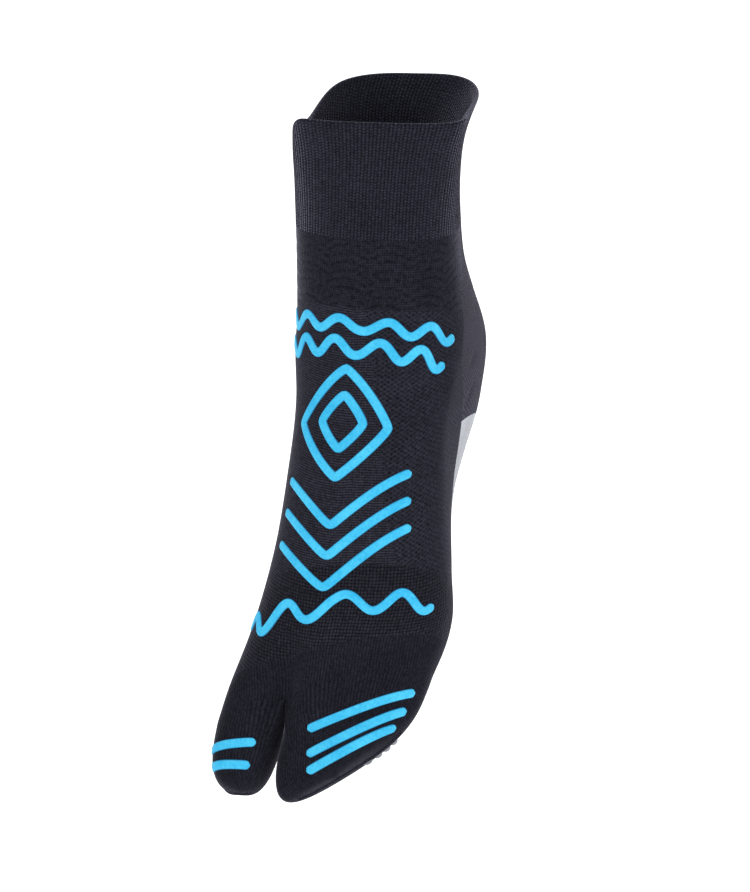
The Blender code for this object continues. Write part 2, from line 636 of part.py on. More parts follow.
def main():
    """Builds every zone, pocket, seam, printed ribbon and grip."""
    clear_scene()
    cuff_end = CUFF_LENGTH
    band_end = CUFF_LENGTH + BAND_LENGTH
    arch_end, mesh_end = ARCH_END * TUBE_LENGTH, MESH_END * TUBE_LENGTH
    box_start = TOE_BOX_START * TUBE_LENGTH

    def at(value):
        return lambda share: value + 0 * share

    rib, band, jersey = material("rib", 0.9), material("band", 0.9), material("jersey", 0.88)
    mesh, heel, toe = material("mesh", 0.88), material("heel", 0.95), material("toe", 0.9)
    arch, seam = material("arch", 0.85), material("seam", 0.9)
    ink, silicone = material("print", 0.45), material("silicone", 0.4)
    ring("cuff", 0.0, cuff_end, even_angles(0.0), CUFF_WALL, rib)
    panel("ankle_band", at(cuff_end), at(band_end), sole_edge_out, sole_edge_in,
          UPPER_COLUMNS, BAND_WALL, band)
    panel("heel_pocket", at(cuff_end), heel_end, sole_edge_in, whole_turn,
          SOLE_COLUMNS, HEEL_WALL, heel)
    panel("lateral_mesh_panel", at(band_end), at(mesh_end), sole_edge_out, mesh_edge,
          MESH_COLUMNS, MESH_WALL, mesh)
    panel("instep_panel", at(band_end), at(mesh_end), mesh_edge, sole_edge_in,
          INSTEP_COLUMNS, JERSEY_WALL, jersey)
    panel("arch_panel", heel_end, at(arch_end), sole_edge_in, whole_turn,
          SOLE_COLUMNS, ARCH_WALL, arch)
    panel("forefoot_panel", at(mesh_end), at(box_start), sole_edge_out, sole_edge_in,
          UPPER_COLUMNS, JERSEY_WALL, jersey)
    panel("sole_panel", at(arch_end), at(box_start), sole_edge_in, whole_turn,
          FORE_SOLE_COLUMNS, SOLE_WALL, heel)
    ring("toe_box", box_start, TUBE_LENGTH, toe_angles(), TOE_WALL, toe)
    toe_pocket("big_toe_pocket", "big_toe", BIG_TOE_COLUMNS, toe)
    toe_pocket("toes_pocket", "toes", TOES_COLUMNS, toe)
    for row in SEAMS:
        edge_seam(*row, seam)
    add_print(ink)
    add_hoops(ink)
    add_grips(silicone)


main()
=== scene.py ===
"""Looks of the left split-toe grip sock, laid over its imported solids.

Metres, +Z up the leg, origin in the middle of the cuff's mouth, +X to the outer side
of the foot and -Y to its front. The knitted tube is one lofted surface, and each zone
is a dense patch of it: s runs along the centre line from the mouth, and the angle runs
round it from the outer side (0) over the instep (90) and the inner side (180).
"""

import bpy
import numpy as np
from mathutils import Matrix, Vector


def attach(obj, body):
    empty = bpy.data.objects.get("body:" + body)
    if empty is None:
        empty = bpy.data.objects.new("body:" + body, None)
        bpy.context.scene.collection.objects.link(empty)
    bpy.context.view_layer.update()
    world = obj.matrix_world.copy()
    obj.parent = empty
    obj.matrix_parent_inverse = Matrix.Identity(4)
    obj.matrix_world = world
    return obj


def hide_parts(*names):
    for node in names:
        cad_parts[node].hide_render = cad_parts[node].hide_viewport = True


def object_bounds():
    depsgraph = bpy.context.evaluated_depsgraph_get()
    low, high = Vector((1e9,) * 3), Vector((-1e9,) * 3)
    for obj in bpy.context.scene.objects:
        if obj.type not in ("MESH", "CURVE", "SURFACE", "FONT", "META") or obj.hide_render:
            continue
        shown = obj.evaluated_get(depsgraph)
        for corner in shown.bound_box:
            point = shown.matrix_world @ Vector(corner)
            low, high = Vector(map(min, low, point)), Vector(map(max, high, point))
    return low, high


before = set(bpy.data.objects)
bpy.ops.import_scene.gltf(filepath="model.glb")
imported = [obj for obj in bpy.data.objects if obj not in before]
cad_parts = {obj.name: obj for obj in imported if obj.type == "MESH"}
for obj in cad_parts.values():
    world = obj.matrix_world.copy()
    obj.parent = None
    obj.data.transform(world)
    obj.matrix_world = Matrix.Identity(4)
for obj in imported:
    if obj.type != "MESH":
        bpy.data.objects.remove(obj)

solid_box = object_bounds()

# Sizes that the solids share, in metres
LEG_HEIGHT = 0.100
FOOT_LENGTH = 0.245
ANKLE_DEPTH = 0.080
BALL_WIDTH = 0.092
FOOT_PITCH = np.radians(40.0)
LEG_TURN = np.radians(14.0)
CUFF_LENGTH = 0.053
BAND_LENGTH = 0.037
MOUTH_LEAN = 0.13
RIM_DIP = 0.010
RIM_DIP_AT = np.radians(190.0)
RIM_DIP_SPREAD = np.radians(25.0)
RIM_RISE = 0.003
RIM_RISE_AT = np.radians(285.0)
RIM_RISE_SPREAD = np.radians(50.0)
BIG_TOE_LENGTH = 0.048
LONG_TOE_LENGTH = 0.058
LITTLE_TOE_LENGTH = 0.0065
CROTCH_WIDTH = 0.007
CROTCH_RUN = 0.030
CROTCH_DEPTH = 0.42
TOE_SPLIT = -0.180
CUFF_WALL = 0.0022
BAND_WALL = 0.0020
JERSEY_WALL = 0.0016
MESH_WALL = 0.0016
HEEL_WALL = 0.0026
ARCH_WALL = 0.0020
SOLE_WALL = 0.0024
TOE_WALL = 0.0018
PIECE_GAP = 0.0004
PRINT_WIDTH = 0.0042
SEAM_WIDTH = 0.0022
GRIP_PITCH = 0.0105
EDGE_GRIP_PITCH = 0.0047

# Finish of the knit
CELL = 0.0013            # spacing of the surface's grid lines
RIB_PITCH = 0.0015       # one rib of the cuff
RIB_SAMPLES = 8
RIB_HEIGHT = 0.00016
BEAD_PITCH = 0.0013      # one stitch along a rib of the cuff
SCALLOP_ACROSS = 0.0180  # one arch of the ankle band's tucked rows
SCALLOP_DOWN = 0.0078    # from one tucked row to the next
SCALLOP_RISE = 0.0032
SCALLOP_DEPTH = 0.00016
PRINT_HEIGHT = 0.00050   # top of the ink over the knit
PRINT_SINK = 0.00025     # its underside in the knit
FILM_SINK = 0.00012      # the grips' film lies this far below the knit's face
DOME_HEIGHT = 0.0011
SEAM_HEIGHT = 0.0007
RIBBON_CELL = 0.0008
RIBBON_COLUMNS = 13
RELIEF_FADE = 0.004      # relief fades out this near a zone's border
RIM_PLAIN = 0.0012       # the ribs start this far below the rim
DOT_CELLS = 14           # grid cells across a dot's own square
DOT_RADIUS = 0.36        # share of the dots' pitch
RING_COLUMNS, RING_ROWS = 191, 13
BIG_TOE_COLUMNS, TOES_COLUMNS, WALL_COLUMNS, POCKET_ROWS = 76, 126, 15, 44

# Stitches, in metres. The real knit's are finer than a picture of the whole sock can
# show, so they are drawn as coarse as it needs.
BAND_STITCH = 0.0011
MESH_ACROSS, MESH_DOWN = 0.0030, 0.0020   # holes of every second row lie between these
JERSEY_WALE, JERSEY_COURSE = 0.0013, 0.0011
SQUARE_PITCH = 0.0015
TERRY_WALE, TERRY_COURSE, TERRY_GRAIN = 0.0016, 0.0013, 0.0048
ELASTIC_WALE, ELASTIC_COURSE = 0.0013, 0.0022
TOE_RIB, TOE_LOOP = 0.0014, 0.0012
SEAM_STITCH = 0.0013
UNDER_WALE, UNDER_COURSE = 0.0015, 0.0012   # stitches that show through the ink

# Noise, in cells a metre
DASHES, HOLE_DEPTHS = 500.0, 700.0
WANDERING, FIBRES, HEATHER, TONES = 320.0, 1500.0, 780.0, 55.0
SPECKS, INK_TONES, DUST = 900.0, 90.0, 700.0

# One row per section, as shares of the named sizes; see the columns' names
SECTION_COLUMNS = ("leg", "along", "rise", "side", "tilt", "turn", "fore", "slant",
                   "front", "back", "medial", "lateral", "front_power", "back_power")
SECTIONS = np.array([
    (0.00, 0.000,  0.000,  0.020, 0.00, 1.00, 0.210, 0.00, 0.210, 0.670, 0.412, 0.402, 3.4, 3.4),
    (0.12, 0.000,  0.000,  0.010, 0.00, 1.00, 0.200, 0.00, 0.210, 0.635, 0.405, 0.385, 3.0, 2.5),
    (0.30, 0.000,  0.000,  0.000, 0.00, 0.95, 0.150, 0.00, 0.250, 0.590, 0.392, 0.378, 2.7, 2.1),
    (0.50, 0.000,  0.000,  0.000, 0.00, 0.80, 0.080, 0.00, 0.310, 0.530, 0.392, 0.375, 2.5, 2.2),
    (0.70, 0.000,  0.000,  0.000, 0.05, 0.60, 0.020, 0.00, 0.368, 0.570, 0.395, 0.385, 2.4, 2.1),
    (0.86, 0.000,  0.000,  0.000, 0.22, 0.35, 0.000, 0.00, 0.393, 0.780, 0.398, 0.404, 2.3, 2.2),
    (1.00, 0.000,  0.000,  0.000, 0.46, 0.15, 0.000, 0.00, 0.420, 1.050, 0.400, 0.420, 2.2, 2.3),
    (1.00, 0.070,  0.000,  0.010, 0.72, 0.05, 0.000, 0.00, 0.338, 1.080, 0.385, 0.422, 2.2, 2.4),
    (1.00, 0.160, -0.030,  0.020, 0.92, 0.00, 0.000, 0.00, 0.330, 0.880, 0.360, 0.390, 2.2, 2.5),
    (1.00, 0.280, -0.090,  0.025, 1.00, 0.00, 0.000, 0.05, 0.400, 0.500, 0.370, 0.400, 2.2, 2.5),
    (1.00, 0.400, -0.150,  0.020, 1.00, 0.00, 0.000, 0.15, 0.400, 0.370, 0.400, 0.435, 2.2, 2.6),
    (1.00, 0.510, -0.200,  0.000, 1.00, 0.00, 0.000, 0.28, 0.340, 0.290, 0.460, 0.480, 2.2, 2.6),
    (1.00, 0.580, -0.225, -0.030, 1.00, 0.00, 0.000, 0.38, 0.290, 0.250, 0.500, 0.485, 2.2, 2.6),
    (1.00, 0.627, -0.245, -0.045, 1.00, 0.00, 0.000, 0.42, 0.250, 0.220, 0.520, 0.460, 2.3, 2.6),
])
COLUMN = {name: i for i, name in enumerate(SECTION_COLUMNS)}

# Angles in degrees of the zones' long borders on the outer side, at shares of the tube
BORDER_COLUMNS = ("share", "sole_edge", "mesh_edge")
BORDERS = np.array([
    (0.19,  -3.0, 88.0),
    (0.26,  -1.0, 88.0),
    (0.33,   5.0, 88.0),
    (0.38,   6.0, 86.0),
    (0.46,  -4.0, 81.0),
    (0.52, -12.5, 77.0),
    (0.60, -14.5, 70.0),
    (0.76, -13.0, 60.0),
    (0.84, -13.0, 54.0),
    (1.00, -14.0, 50.0),
])
HEEL_MIDDLE_END = 0.46
HEEL_SIDE_END = 0.505
ARCH_END = 0.764
MESH_END = 0.817
TOE_BOX_START = 0.943

POCKET_COLUMNS = ("side", "centre", "wide", "top", "bottom", "tip_side", "tip_rise", "tip_power")
POCKETS = {
    "big_toe": (-1.0, -0.357, 0.160, 0.165, 0.145, -0.364, -0.05, 3.0),
    "toes": (1.0, 0.135, 0.322, 0.155, 0.135, 0.110, -0.05, 3.6),
}
POCKET_POWER = 2.4
POCKET_BLEND = 0.55
ARC_SHARE = 0.8

# The printed pattern and the seams, in the same layout as the solids
WAVE_SWING = 0.0042
WAVES = (("print_ankle_wave_upper", 0.385, 5.0, 20.0, 170.0),
         ("print_ankle_wave_lower", 0.440, 5.0, 26.0, 170.0),
         ("print_forefoot_wave", 0.880, 4.0, 26.0, 160.0))
DIAMOND_LENGTH = 0.052
DIAMOND_CENTRE = (0.580, -0.12)
DIAMONDS = (("print_diamond_outer", 1.0, 0.58), ("print_diamond_inner", 0.5, 0.28))
DIAMOND_POWER = 1.2
CHEVRON_RISE = 0.034
CHEVRON_ENDS = (-0.80, 0.74)
CHEVRON_ROUND = 0.04
CHEVRONS = (("print_chevron_1", 0.758), ("print_chevron_2", 0.806), ("print_chevron_3", 0.854))
HOOPS = (("print_big_toe_hoop_1", "big_toe", 0.20, 0.05, 0.35),
         ("print_big_toe_hoop_2", "big_toe", 0.42, 0.05, 0.35),
         ("print_toes_hoop_1", "toes", 0.12, 0.45, 0.76),
         ("print_toes_hoop_2", "toes", 0.30, 0.45, 0.76),
         ("print_toes_hoop_3", "toes", 0.50, 0.45, 0.76))
CURVE_POINTS = 361
TUBE_PROBE = (0.001, 0.02)
POCKET_PROBE = 0.004
SEAMS = (("big_toe_seam", "big_toe", 0.50, 0.90, 0.45, 0.80),
         ("toes_seam", "toes", 0.395, 0.90, 0.55, 0.80))
TIP_TURN = 0.99
SOLE_GRIPS = (("heel_grips", 0.43, 0.57, -0.58, 0.58, 0.050, 0.042),
              ("ball_grips", 0.75, 0.885, -0.80, 0.80, 0.045, 0.068))
POCKET_GRIPS = (("big_toe_grips", "big_toe", 0.16, 0.56, 0.58, 0.76, 0.021, 0.019),
                ("toes_grips", "toes", 0.16, 0.52, 0.05, 0.30, 0.021, 0.052))
EDGE_GRIPS = ("toe_edge_grips", "toes", 0.54, 0.91, 0.305, 0.350, 0.021)


# The knitted surface
def smooth_table(stations, values, at):
    """Reads rows of a table at any station along a smooth curve through them."""
    slopes = np.gradient(values, stations, axis=0)
    low = np.clip(np.searchsorted(stations, at, side="right") - 1, 0, len(stations) - 2)
    span = (stations[low + 1] - stations[low])[..., None]
    u = ((at - stations[low])[..., None] / span).clip(0.0, 1.0)
    return ((2 * u**3 - 3 * u**2 + 1) * values[low] + (u**3 - 2 * u**2 + u) * span * slopes[low]
            + (3 * u**2 - 2 * u**3) * values[low + 1] + (u**3 - u**2) * span * slopes[low + 1])


def smooth_step(x):
    """0 below 0, 1 above 1 and an S curve between."""
    x = np.clip(x, 0.0, 1.0)
    return x * x * (3 - 2 * x)


def power(x, exponent):
    """Superellipse coordinate: the sign of x times its size to the 2 / exponent."""
    return np.sign(x) * np.abs(x) ** (2.0 / exponent)


def columns(rows):
    """The table's columns by name."""
    return {name: rows[..., i] for name, i in COLUMN.items()}


def centres(rows):
    """Points of the centre line: down the leg first, then along and across the foot."""
    c = columns(rows)
    ahead = np.array([0, -np.sin(FOOT_PITCH), -np.cos(FOOT_PITCH)])
    above = np.array([0, -np.cos(FOOT_PITCH), np.sin(FOOT_PITCH)])
    start = np.stack([BALL_WIDTH * c["side"], 0 * c["side"], -LEG_HEIGHT * c["leg"]], -1)
    return start + FOOT_LENGTH * (c["along"][..., None] * ahead + c["rise"][..., None] * above)


STEPS = np.linalg.norm(np.diff(centres(SECTIONS), axis=0), axis=1)
STATIONS = np.concatenate([[0.0], np.cumsum(STEPS)])
TUBE_LENGTH = STATIONS[-1]


def outline(rows, angle, inset, crotch):
    """Across and dorsal coordinates of a section, pinched where the toes part."""
    c = columns(rows)
    cosine, sine = np.cos(angle), np.sin(angle)
    corner = np.where(sine >= 0, c["front_power"], c["back_power"])
    half_wide = np.where(cosine >= 0, c["lateral"], c["medial"]) * BALL_WIDTH - inset
    half_high = np.where(sine >= 0, c["front"], c["back"]) * ANKLE_DEPTH
    x = half_wide * power(cosine, corner)
    valley = np.exp(-((x - TOE_SPLIT * BALL_WIDTH) / CROTCH_WIDTH) ** 2)
    h = (half_high * (1 - crotch * CROTCH_DEPTH * valley) - inset) * power(sine, corner)
    lean = MOUTH_LEAN * np.clip(1 - c["leg"] / 0.3, 0, 1) ** 2
    return x + lean * np.clip(-h, 0, None), h + c["fore"] * ANKLE_DEPTH


def place(rows, x, h, ahead):
    """World point of across, dorsal and forward coordinates in each section's frame."""
    c = columns(rows)
    tilt, turn = c["tilt"] * FOOT_PITCH, c["turn"] * LEG_TURN
    forward = -np.cos(tilt) * h - np.sin(tilt) * ahead
    upward = np.sin(tilt) * h - np.cos(tilt) * ahead
    across = np.cos(turn) * x - np.sin(turn) * forward
    forward = np.sin(turn) * x + np.cos(turn) * forward
    return centres(rows) + np.stack([across, forward, upward], -1)


def lobe(angle, middle, spread):
    """1 at the middle angle, falling smoothly to 0 on both sides of it."""
    off = np.mod(angle - middle + np.pi, 2 * np.pi) - np.pi
    return np.exp(-((off / spread) ** 2))


def tube(s, angle, inset=0.0):
    """Point of the sock's tube, inset from its outer face by a knit thickness."""
    rows = smooth_table(STATIONS, SECTIONS, s)
    near_toes = smooth_step(1 - (TUBE_LENGTH - s) / CROTCH_RUN)
    x, h = outline(rows, angle, inset, near_toes)
    point = place(rows, x, h, -columns(rows)["slant"] * x)
    mouth = np.clip(1 - s / CUFF_LENGTH, 0, 1) ** 2
    rise = RIM_RISE * lobe(angle, RIM_RISE_AT, RIM_RISE_SPREAD)
    dip = RIM_DIP * lobe(angle, RIM_DIP_AT, RIM_DIP_SPREAD)
    point[..., 2] += mouth * (rise - dip)
    return point


def split_angles(across, inset=0.0):
    """Angles of the last section, over and under the foot, at a place across it."""
    end = columns(SECTIONS[-1])
    reach = np.abs(across) / (end["medial"] * BALL_WIDTH - inset)
    return (np.pi - np.arccos(reach ** (end["front_power"] / 2)),
            np.pi + np.arccos(reach ** (end["back_power"] / 2)))


def pocket(which, t, v, inset=0.0):
    """Point of a toe pocket: t runs from the crotch section to the tip, v round it.

    The base is the tube's last section cut off by a straight wall at the split, and it
    blends into a superellipse that closes on a rounded tip.
    """
    p = dict(zip(POCKET_COLUMNS, POCKETS[which]))
    last = SECTIONS[-1]
    end = columns(last)
    t, v = np.broadcast_arrays(t, v)
    wall_x = TOE_SPLIT * BALL_WIDTH + p["side"] * (PIECE_GAP / 2 + inset)
    top, bottom = split_angles(wall_x, inset)
    first, final = (top, bottom) if p["side"] < 0 else (bottom, top + 2 * np.pi)
    rows = np.broadcast_to(last, v.shape + last.shape)
    arc = first + (final - first) * np.clip(v / ARC_SHARE, 0, 1)
    x, h = outline(rows, arc, inset, 1.0)
    rim = np.broadcast_to(last, (2,) + last.shape)
    from_h, to_h = outline(rim, np.array([final, first]), inset, 1.0)[1]
    wall = np.clip((v - ARC_SHARE) / (1 - ARC_SHARE), 0, 1)
    x = np.where(v > ARC_SHARE, wall_x, x)
    h = np.where(v > ARC_SHARE, from_h + (to_h - from_h) * wall, h)
    centre = p["centre"] * BALL_WIDTH
    theta = np.arctan2(h / (p["top"] * ANKLE_DEPTH), (x - centre) / (p["wide"] * BALL_WIDTH))
    cosine, sine = np.cos(theta), np.sin(theta)
    round_x = (p["wide"] * BALL_WIDTH - inset) * power(cosine, POCKET_POWER)
    high = np.where(sine >= 0, p["top"], p["bottom"]) * ANKLE_DEPTH - inset
    round_h = high * power(sine, POCKET_POWER)
    along = np.sin(t * np.pi / 2) ** (2 / p["tip_power"])
    size = np.clip(np.cos(t * np.pi / 2), 0, 1) ** (2 / p["tip_power"])
    blend = smooth_step(along / POCKET_BLEND)
    px = centre + (p["tip_side"] * BALL_WIDTH - centre) * along
    px = px + size * ((x - centre) * (1 - blend) + round_x * blend)
    ph = p["tip_rise"] * ANKLE_DEPTH * along + size * (h * (1 - blend) + round_h * blend)
    if p["side"] < 0:
        length = BIG_TOE_LENGTH
    else:
        outward = (px - TOE_SPLIT * BALL_WIDTH) / (2 * p["wide"] * BALL_WIDTH)
        length = LONG_TOE_LENGTH + (LITTLE_TOE_LENGTH - LONG_TOE_LENGTH) * outward.clip(-0.3, 1.3)
    ahead = along * (length - inset) - (1 - along) * end["slant"] * px
    rows = np.broadcast_to(last, px.shape + last.shape)
    return place(rows, px, ph, ahead)


def normal_of(surface, a, b, step_a, step_b):
    """Outward unit normal of a surface of two parameters, from small differences."""
    along = surface(a + step_a, b) - surface(a - step_a, b)
    round_it = surface(a, b + step_b) - surface(a, b - step_b)
    n = np.cross(round_it, along)
    return n / np.linalg.norm(n, axis=-1, keepdims=True)


def border(column):
    """A function that gives the angle of a long border at each station."""
    k = BORDER_COLUMNS.index(column)
    shares = BORDERS[:, 0]

    def angle(s):
        at = np.clip(s / TUBE_LENGTH, shares[0], shares[-1])
        return np.radians(smooth_table(shares, BORDERS[:, k:k + 1], at)[..., 0])
    return angle


sole_edge_out, mesh_edge = border("sole_edge"), border("mesh_edge")


def sole_edge_in(s):
    """Border between the upper and the sole on the inner side, a mirror of the outer."""
    return np.pi - sole_edge_out(s)


def whole_turn(s):
    """The sole edge of the outer side, one turn further on."""
    return 2 * np.pi + sole_edge_out(s)


def heel_end(share):
    """Lower edge of the heel, which drops lower at both of its sides."""
    side = HEEL_MIDDLE_END + (HEEL_SIDE_END - HEEL_MIDDLE_END) * np.abs(2 * share - 1) ** 4
    return side * TUBE_LENGTH


# Lengths over the tube's skin, for the knit's scale. The grid's angles crowd at the
# four sides of a section, where a squarish outline turns fastest with its angle.
STATION_LINES = np.linspace(0, TUBE_LENGTH, 301)
EVEN_TURNS = np.radians(np.arange(-45.0, 456.0, 0.5))
ANGLE_LINES = np.unwrap(np.arctan2(power(np.sin(EVEN_TURNS), 1.3), power(np.cos(EVEN_TURNS), 1.3)))
SKIN = tube(STATION_LINES[:, None], ANGLE_LINES[None, :])
ROUND = np.cumsum(np.linalg.norm(np.diff(SKIN, axis=1, prepend=SKIN[:, :1]), axis=2), axis=1)
DOWN = np.cumsum(np.linalg.norm(np.diff(SKIN, axis=0, prepend=SKIN[:1]), axis=2), axis=0)


def read_skin(table, s, angle):
    """Reads a table of the skin between its lines, straight in both directions."""
    s, angle = np.broadcast_arrays(s, angle)
    i = np.clip(s / TUBE_LENGTH * (len(STATION_LINES) - 1), 0, len(STATION_LINES) - 1.001)
    j = np.interp(angle, ANGLE_LINES, np.arange(len(ANGLE_LINES))).clip(0, len(ANGLE_LINES) - 1.001)
    i0, j0 = i.astype(int), j.astype(int)
    di, dj = i - i0, j - j0
    top = table[i0, j0] * (1 - dj) + table[i0, j0 + 1] * dj
    low = table[i0 + 1, j0] * (1 - dj) + table[i0 + 1, j0 + 1] * dj
    return top * (1 - di) + low * di


def skin_lengths(s, angle, middle):
    """Metres round the skin from the middle angle, and down it from the mouth."""
    across = read_skin(ROUND, s, angle) - read_skin(ROUND, s, middle + 0 * angle)
    return np.stack([across, read_skin(DOWN, s, angle)], -1)


# Closed bodies
def cells(grid):
    """The four corners of every cell of a grid, in the order that faces outwards."""
    corners = (grid[:-1, :-1], grid[:-1, 1:], grid[1:, 1:], grid[1:, :-1])
    return np.stack(corners, axis=2).reshape(-1, 4, *grid.shape[2:])


def body(name, outer, inner, lengths, finish, wrap=False, tip=False):
    """One closed piece between an outer and an inner grid, with its knit lengths as UV.

    A wrapped grid repeats its first column as its last. tip closes the last row on a
    point. The piece rides on the root body and stands for the solid of its own name.
    """
    rows, cols = outer.shape[:2]
    span = cols - 1 if wrap else cols
    index = np.arange(rows)[:, None] * span + np.arange(cols)[None, :] % span
    count = rows * span
    if tip:
        index[-1] = index[-1, 0]
        count = (rows - 1) * span + 1
    under = index + count
    skins = [(index, lengths), (under[:, ::-1], lengths[:, ::-1])]
    walls = [(np.stack([under[0], index[0]]), np.stack([lengths[0]] * 2))]
    if not tip:
        walls.append((np.stack([index[-1], under[-1]]), np.stack([lengths[-1]] * 2)))
    if not wrap:
        walls.append((np.stack([under[:, 0], index[:, 0]], 1), np.stack([lengths[:, 0]] * 2, 1)))
        walls.append((np.stack([index[:, -1], under[:, -1]], 1), np.stack([lengths[:, -1]] * 2, 1)))
    faces, marks, points_of_tip, marks_of_tip = [], [], [], []
    for which, coordinates in skins + walls:
        quads, spots = cells(which), cells(coordinates)
        if tip and len(which) == rows:
            points_of_tip += quads[1 - cols:, :3].tolist()
            marks_of_tip.append(spots[1 - cols:, :3].reshape(-1, 2))
            quads, spots = quads[:1 - cols], spots[:1 - cols]
        faces += quads.tolist()
        marks.append(spots.reshape(-1, 2))
    points = np.concatenate([g[:, :span].reshape(-1, 3)[:count] for g in (outer, inner)])
    mesh = bpy.data.meshes.new(name)
    mesh.from_pydata(points.tolist(), [], faces + points_of_tip)
    layer = mesh.uv_layers.new(name="knit_lengths")
    layer.data.foreach_set("uv", np.concatenate(marks + marks_of_tip).astype(np.float32).ravel())
    mesh.shade_smooth()
    mesh.set_sharp_from_angle(angle=np.radians(60.0))
    mesh.materials.append(finish)
    piece = bpy.data.objects.new(name + "_look", mesh)
    bpy.context.scene.collection.objects.link(piece)
    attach(piece, "root")
    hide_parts(name)
    return piece


def at(value):
    """A border that stays at one station all the way across."""
    return lambda share: value + 0 * share


def zone(name, starts, ends, low, high, middle, wall, finish, relief=None):
    """A patch of the tube between two course lines and two long borders."""
    ends_at, starts_at = np.asarray(ends(np.linspace(0, 1, 9))), starts(np.linspace(0, 1, 9))
    longest = float(np.max(ends_at - starts_at))
    halfway = np.linspace(float(np.min(starts_at)), float(np.max(ends_at)), 9)
    far, near = read_skin(ROUND, halfway, high(halfway)), read_skin(ROUND, halfway, low(halfway))
    widest = np.max(far - near)
    u = np.linspace(0, 1, int(longest / CELL) + 2)[:, None]
    v = np.linspace(0, 1, int(widest / CELL) + 2)[None, :]
    s = starts(v) + (ends(v) - starts(v)) * u
    angle = low(s) + (high(s) - low(s)) * v
    lengths = skin_lengths(s, angle, np.radians(middle))
    edge = np.minimum(np.minimum(u, 1 - u) * longest, np.minimum(v, 1 - v) * widest)
    height = 0 * s if relief is None else relief(lengths) * smooth_step(edge / RELIEF_FADE)
    return body(name, tube(s, angle, -height), tube(s, angle, wall), lengths, finish)


def tucks(lengths):
    """Scalloped channels: rows that rise in arches round the leg, sunk along each row."""
    arch = SCALLOP_RISE * np.abs(np.sin(np.pi * lengths[..., 0] / SCALLOP_ACROSS))
    rows = np.abs(np.sin(np.pi * (lengths[..., 1] + arch) / SCALLOP_DOWN))
    return SCALLOP_DEPTH * (np.sqrt(rows) - 1)


# Small dents where the heel's cushion folds: shares of the tube, degrees, metres
DENT_COLUMNS = ("share", "angle", "along", "across", "depth")
HEEL_DENTS = ((0.345, -14.0, 0.0022, 0.0040, 0.0006),
              (0.385, -22.0, 0.0050, 0.0022, 0.0007),
              (0.415,  -8.0, 0.0030, 0.0045, 0.0006),
              (0.462, -12.0, 0.0045, 0.0028, 0.0007))


def dents(lengths):
    """Shallow bell-shaped hollows in the heel, each at its own place on the skin."""
    height = 0 * lengths[..., 0]
    for row in HEEL_DENTS:
        dent = dict(zip(DENT_COLUMNS, row))
        s, angle = dent["share"] * TUBE_LENGTH, 2 * np.pi + np.radians(dent["angle"])
        x, y = skin_lengths(np.array(s), np.array(angle), np.radians(270))
        across, along = (lengths[..., 0] - x) / dent["across"], (lengths[..., 1] - y) / dent["along"]
        height = height - dent["depth"] * np.exp(-(across**2 + along**2))
    return height


def cuff(finish):
    """The ribbed cuff: rounded ribs on both faces, and a rounded rim at the mouth.

    Its profile runs from the rim's top over a quarter circle and down each face, and
    the height of a rib is the size of a sine of its place round the leg. A rib stays at
    one share of the girth all the way down, counted from the front.
    """
    radius = CUFF_WALL / 2
    turn = np.radians(np.linspace(80, 0, 5))
    straight = np.linspace(radius, CUFF_LENGTH, 29)[1:]
    s = np.concatenate([radius - radius * np.sin(turn), straight])[:, None]
    sunk = np.concatenate([radius - radius * np.cos(turn), 0 * straight])[:, None]
    turns = ANGLE_LINES[ANGLE_LINES > np.pi / 2 - 0.01]
    run = read_skin(ROUND, s, turns[None, :])
    start = read_skin(ROUND, s, 0 * s + np.pi / 2)
    girth = read_skin(ROUND, s, 0 * s + 2.5 * np.pi) - start
    count = int(round(girth[len(girth) // 2, 0] / RIB_PITCH))
    share = np.arange(count * RIB_SAMPLES + 1) / (count * RIB_SAMPLES)
    angle = np.stack([np.interp(a + b * share, row, turns) for a, b, row in zip(start, girth, run)])
    ribs = np.abs(np.sin(np.pi * share * count))[None, :] ** 0.8
    starting = smooth_step((s - RIM_PLAIN) / RIB_PITCH)
    rib = RIB_HEIGHT * starting * (ribs - 0.7)
    s = s + 0 * angle
    lengths = np.stack([share[None, :] * count * RIB_PITCH + 0 * s, s], -1)
    outer, inner = tube(s, angle, sunk - rib), tube(s, angle, CUFF_WALL - sunk + rib)
    return body("cuff", outer, inner, lengths, finish, wrap=True)


def toe_ring(finish):
    """The ring of toe knit between the forefoot and the two pockets."""
    angle = np.linspace(0, 2 * np.pi, RING_COLUMNS)[None, :]
    s = np.linspace(TOE_BOX_START * TUBE_LENGTH, TUBE_LENGTH, RING_ROWS)[:, None] + 0 * angle
    angle = angle + 0 * s
    lengths = skin_lengths(s, angle, np.pi / 2)
    outer, inner = tube(s, angle), tube(s, angle, TOE_WALL)
    return body("toe_box", outer, inner, lengths, finish, wrap=True)


def toe_pocket(name, which, girth_columns, finish):
    """A closed toe pocket whose wales run from its base to its tip."""
    t = (np.linspace(0, 1, POCKET_ROWS) ** 0.85)[:, None]
    v = np.concatenate([np.linspace(0, ARC_SHARE, girth_columns),
                        np.linspace(ARC_SHARE, 1, WALL_COLUMNS)[1:]])[None, :]
    t, v = np.broadcast_arrays(t, v)
    outer, inner = pocket(which, t, v), pocket(which, t, v, TOE_WALL)
    middle = outer[POCKET_ROWS // 3]
    girth = np.cumsum(np.linalg.norm(np.diff(middle, axis=0, prepend=middle[:1]), axis=1))
    down = np.cumsum(np.linalg.norm(np.diff(outer, axis=0, prepend=outer[:1]), axis=2), axis=0)
    lengths = np.stack([girth[None, :] + 0 * t, down], -1)
    return body(name, outer, inner, lengths, finish, wrap=True, tip=True)


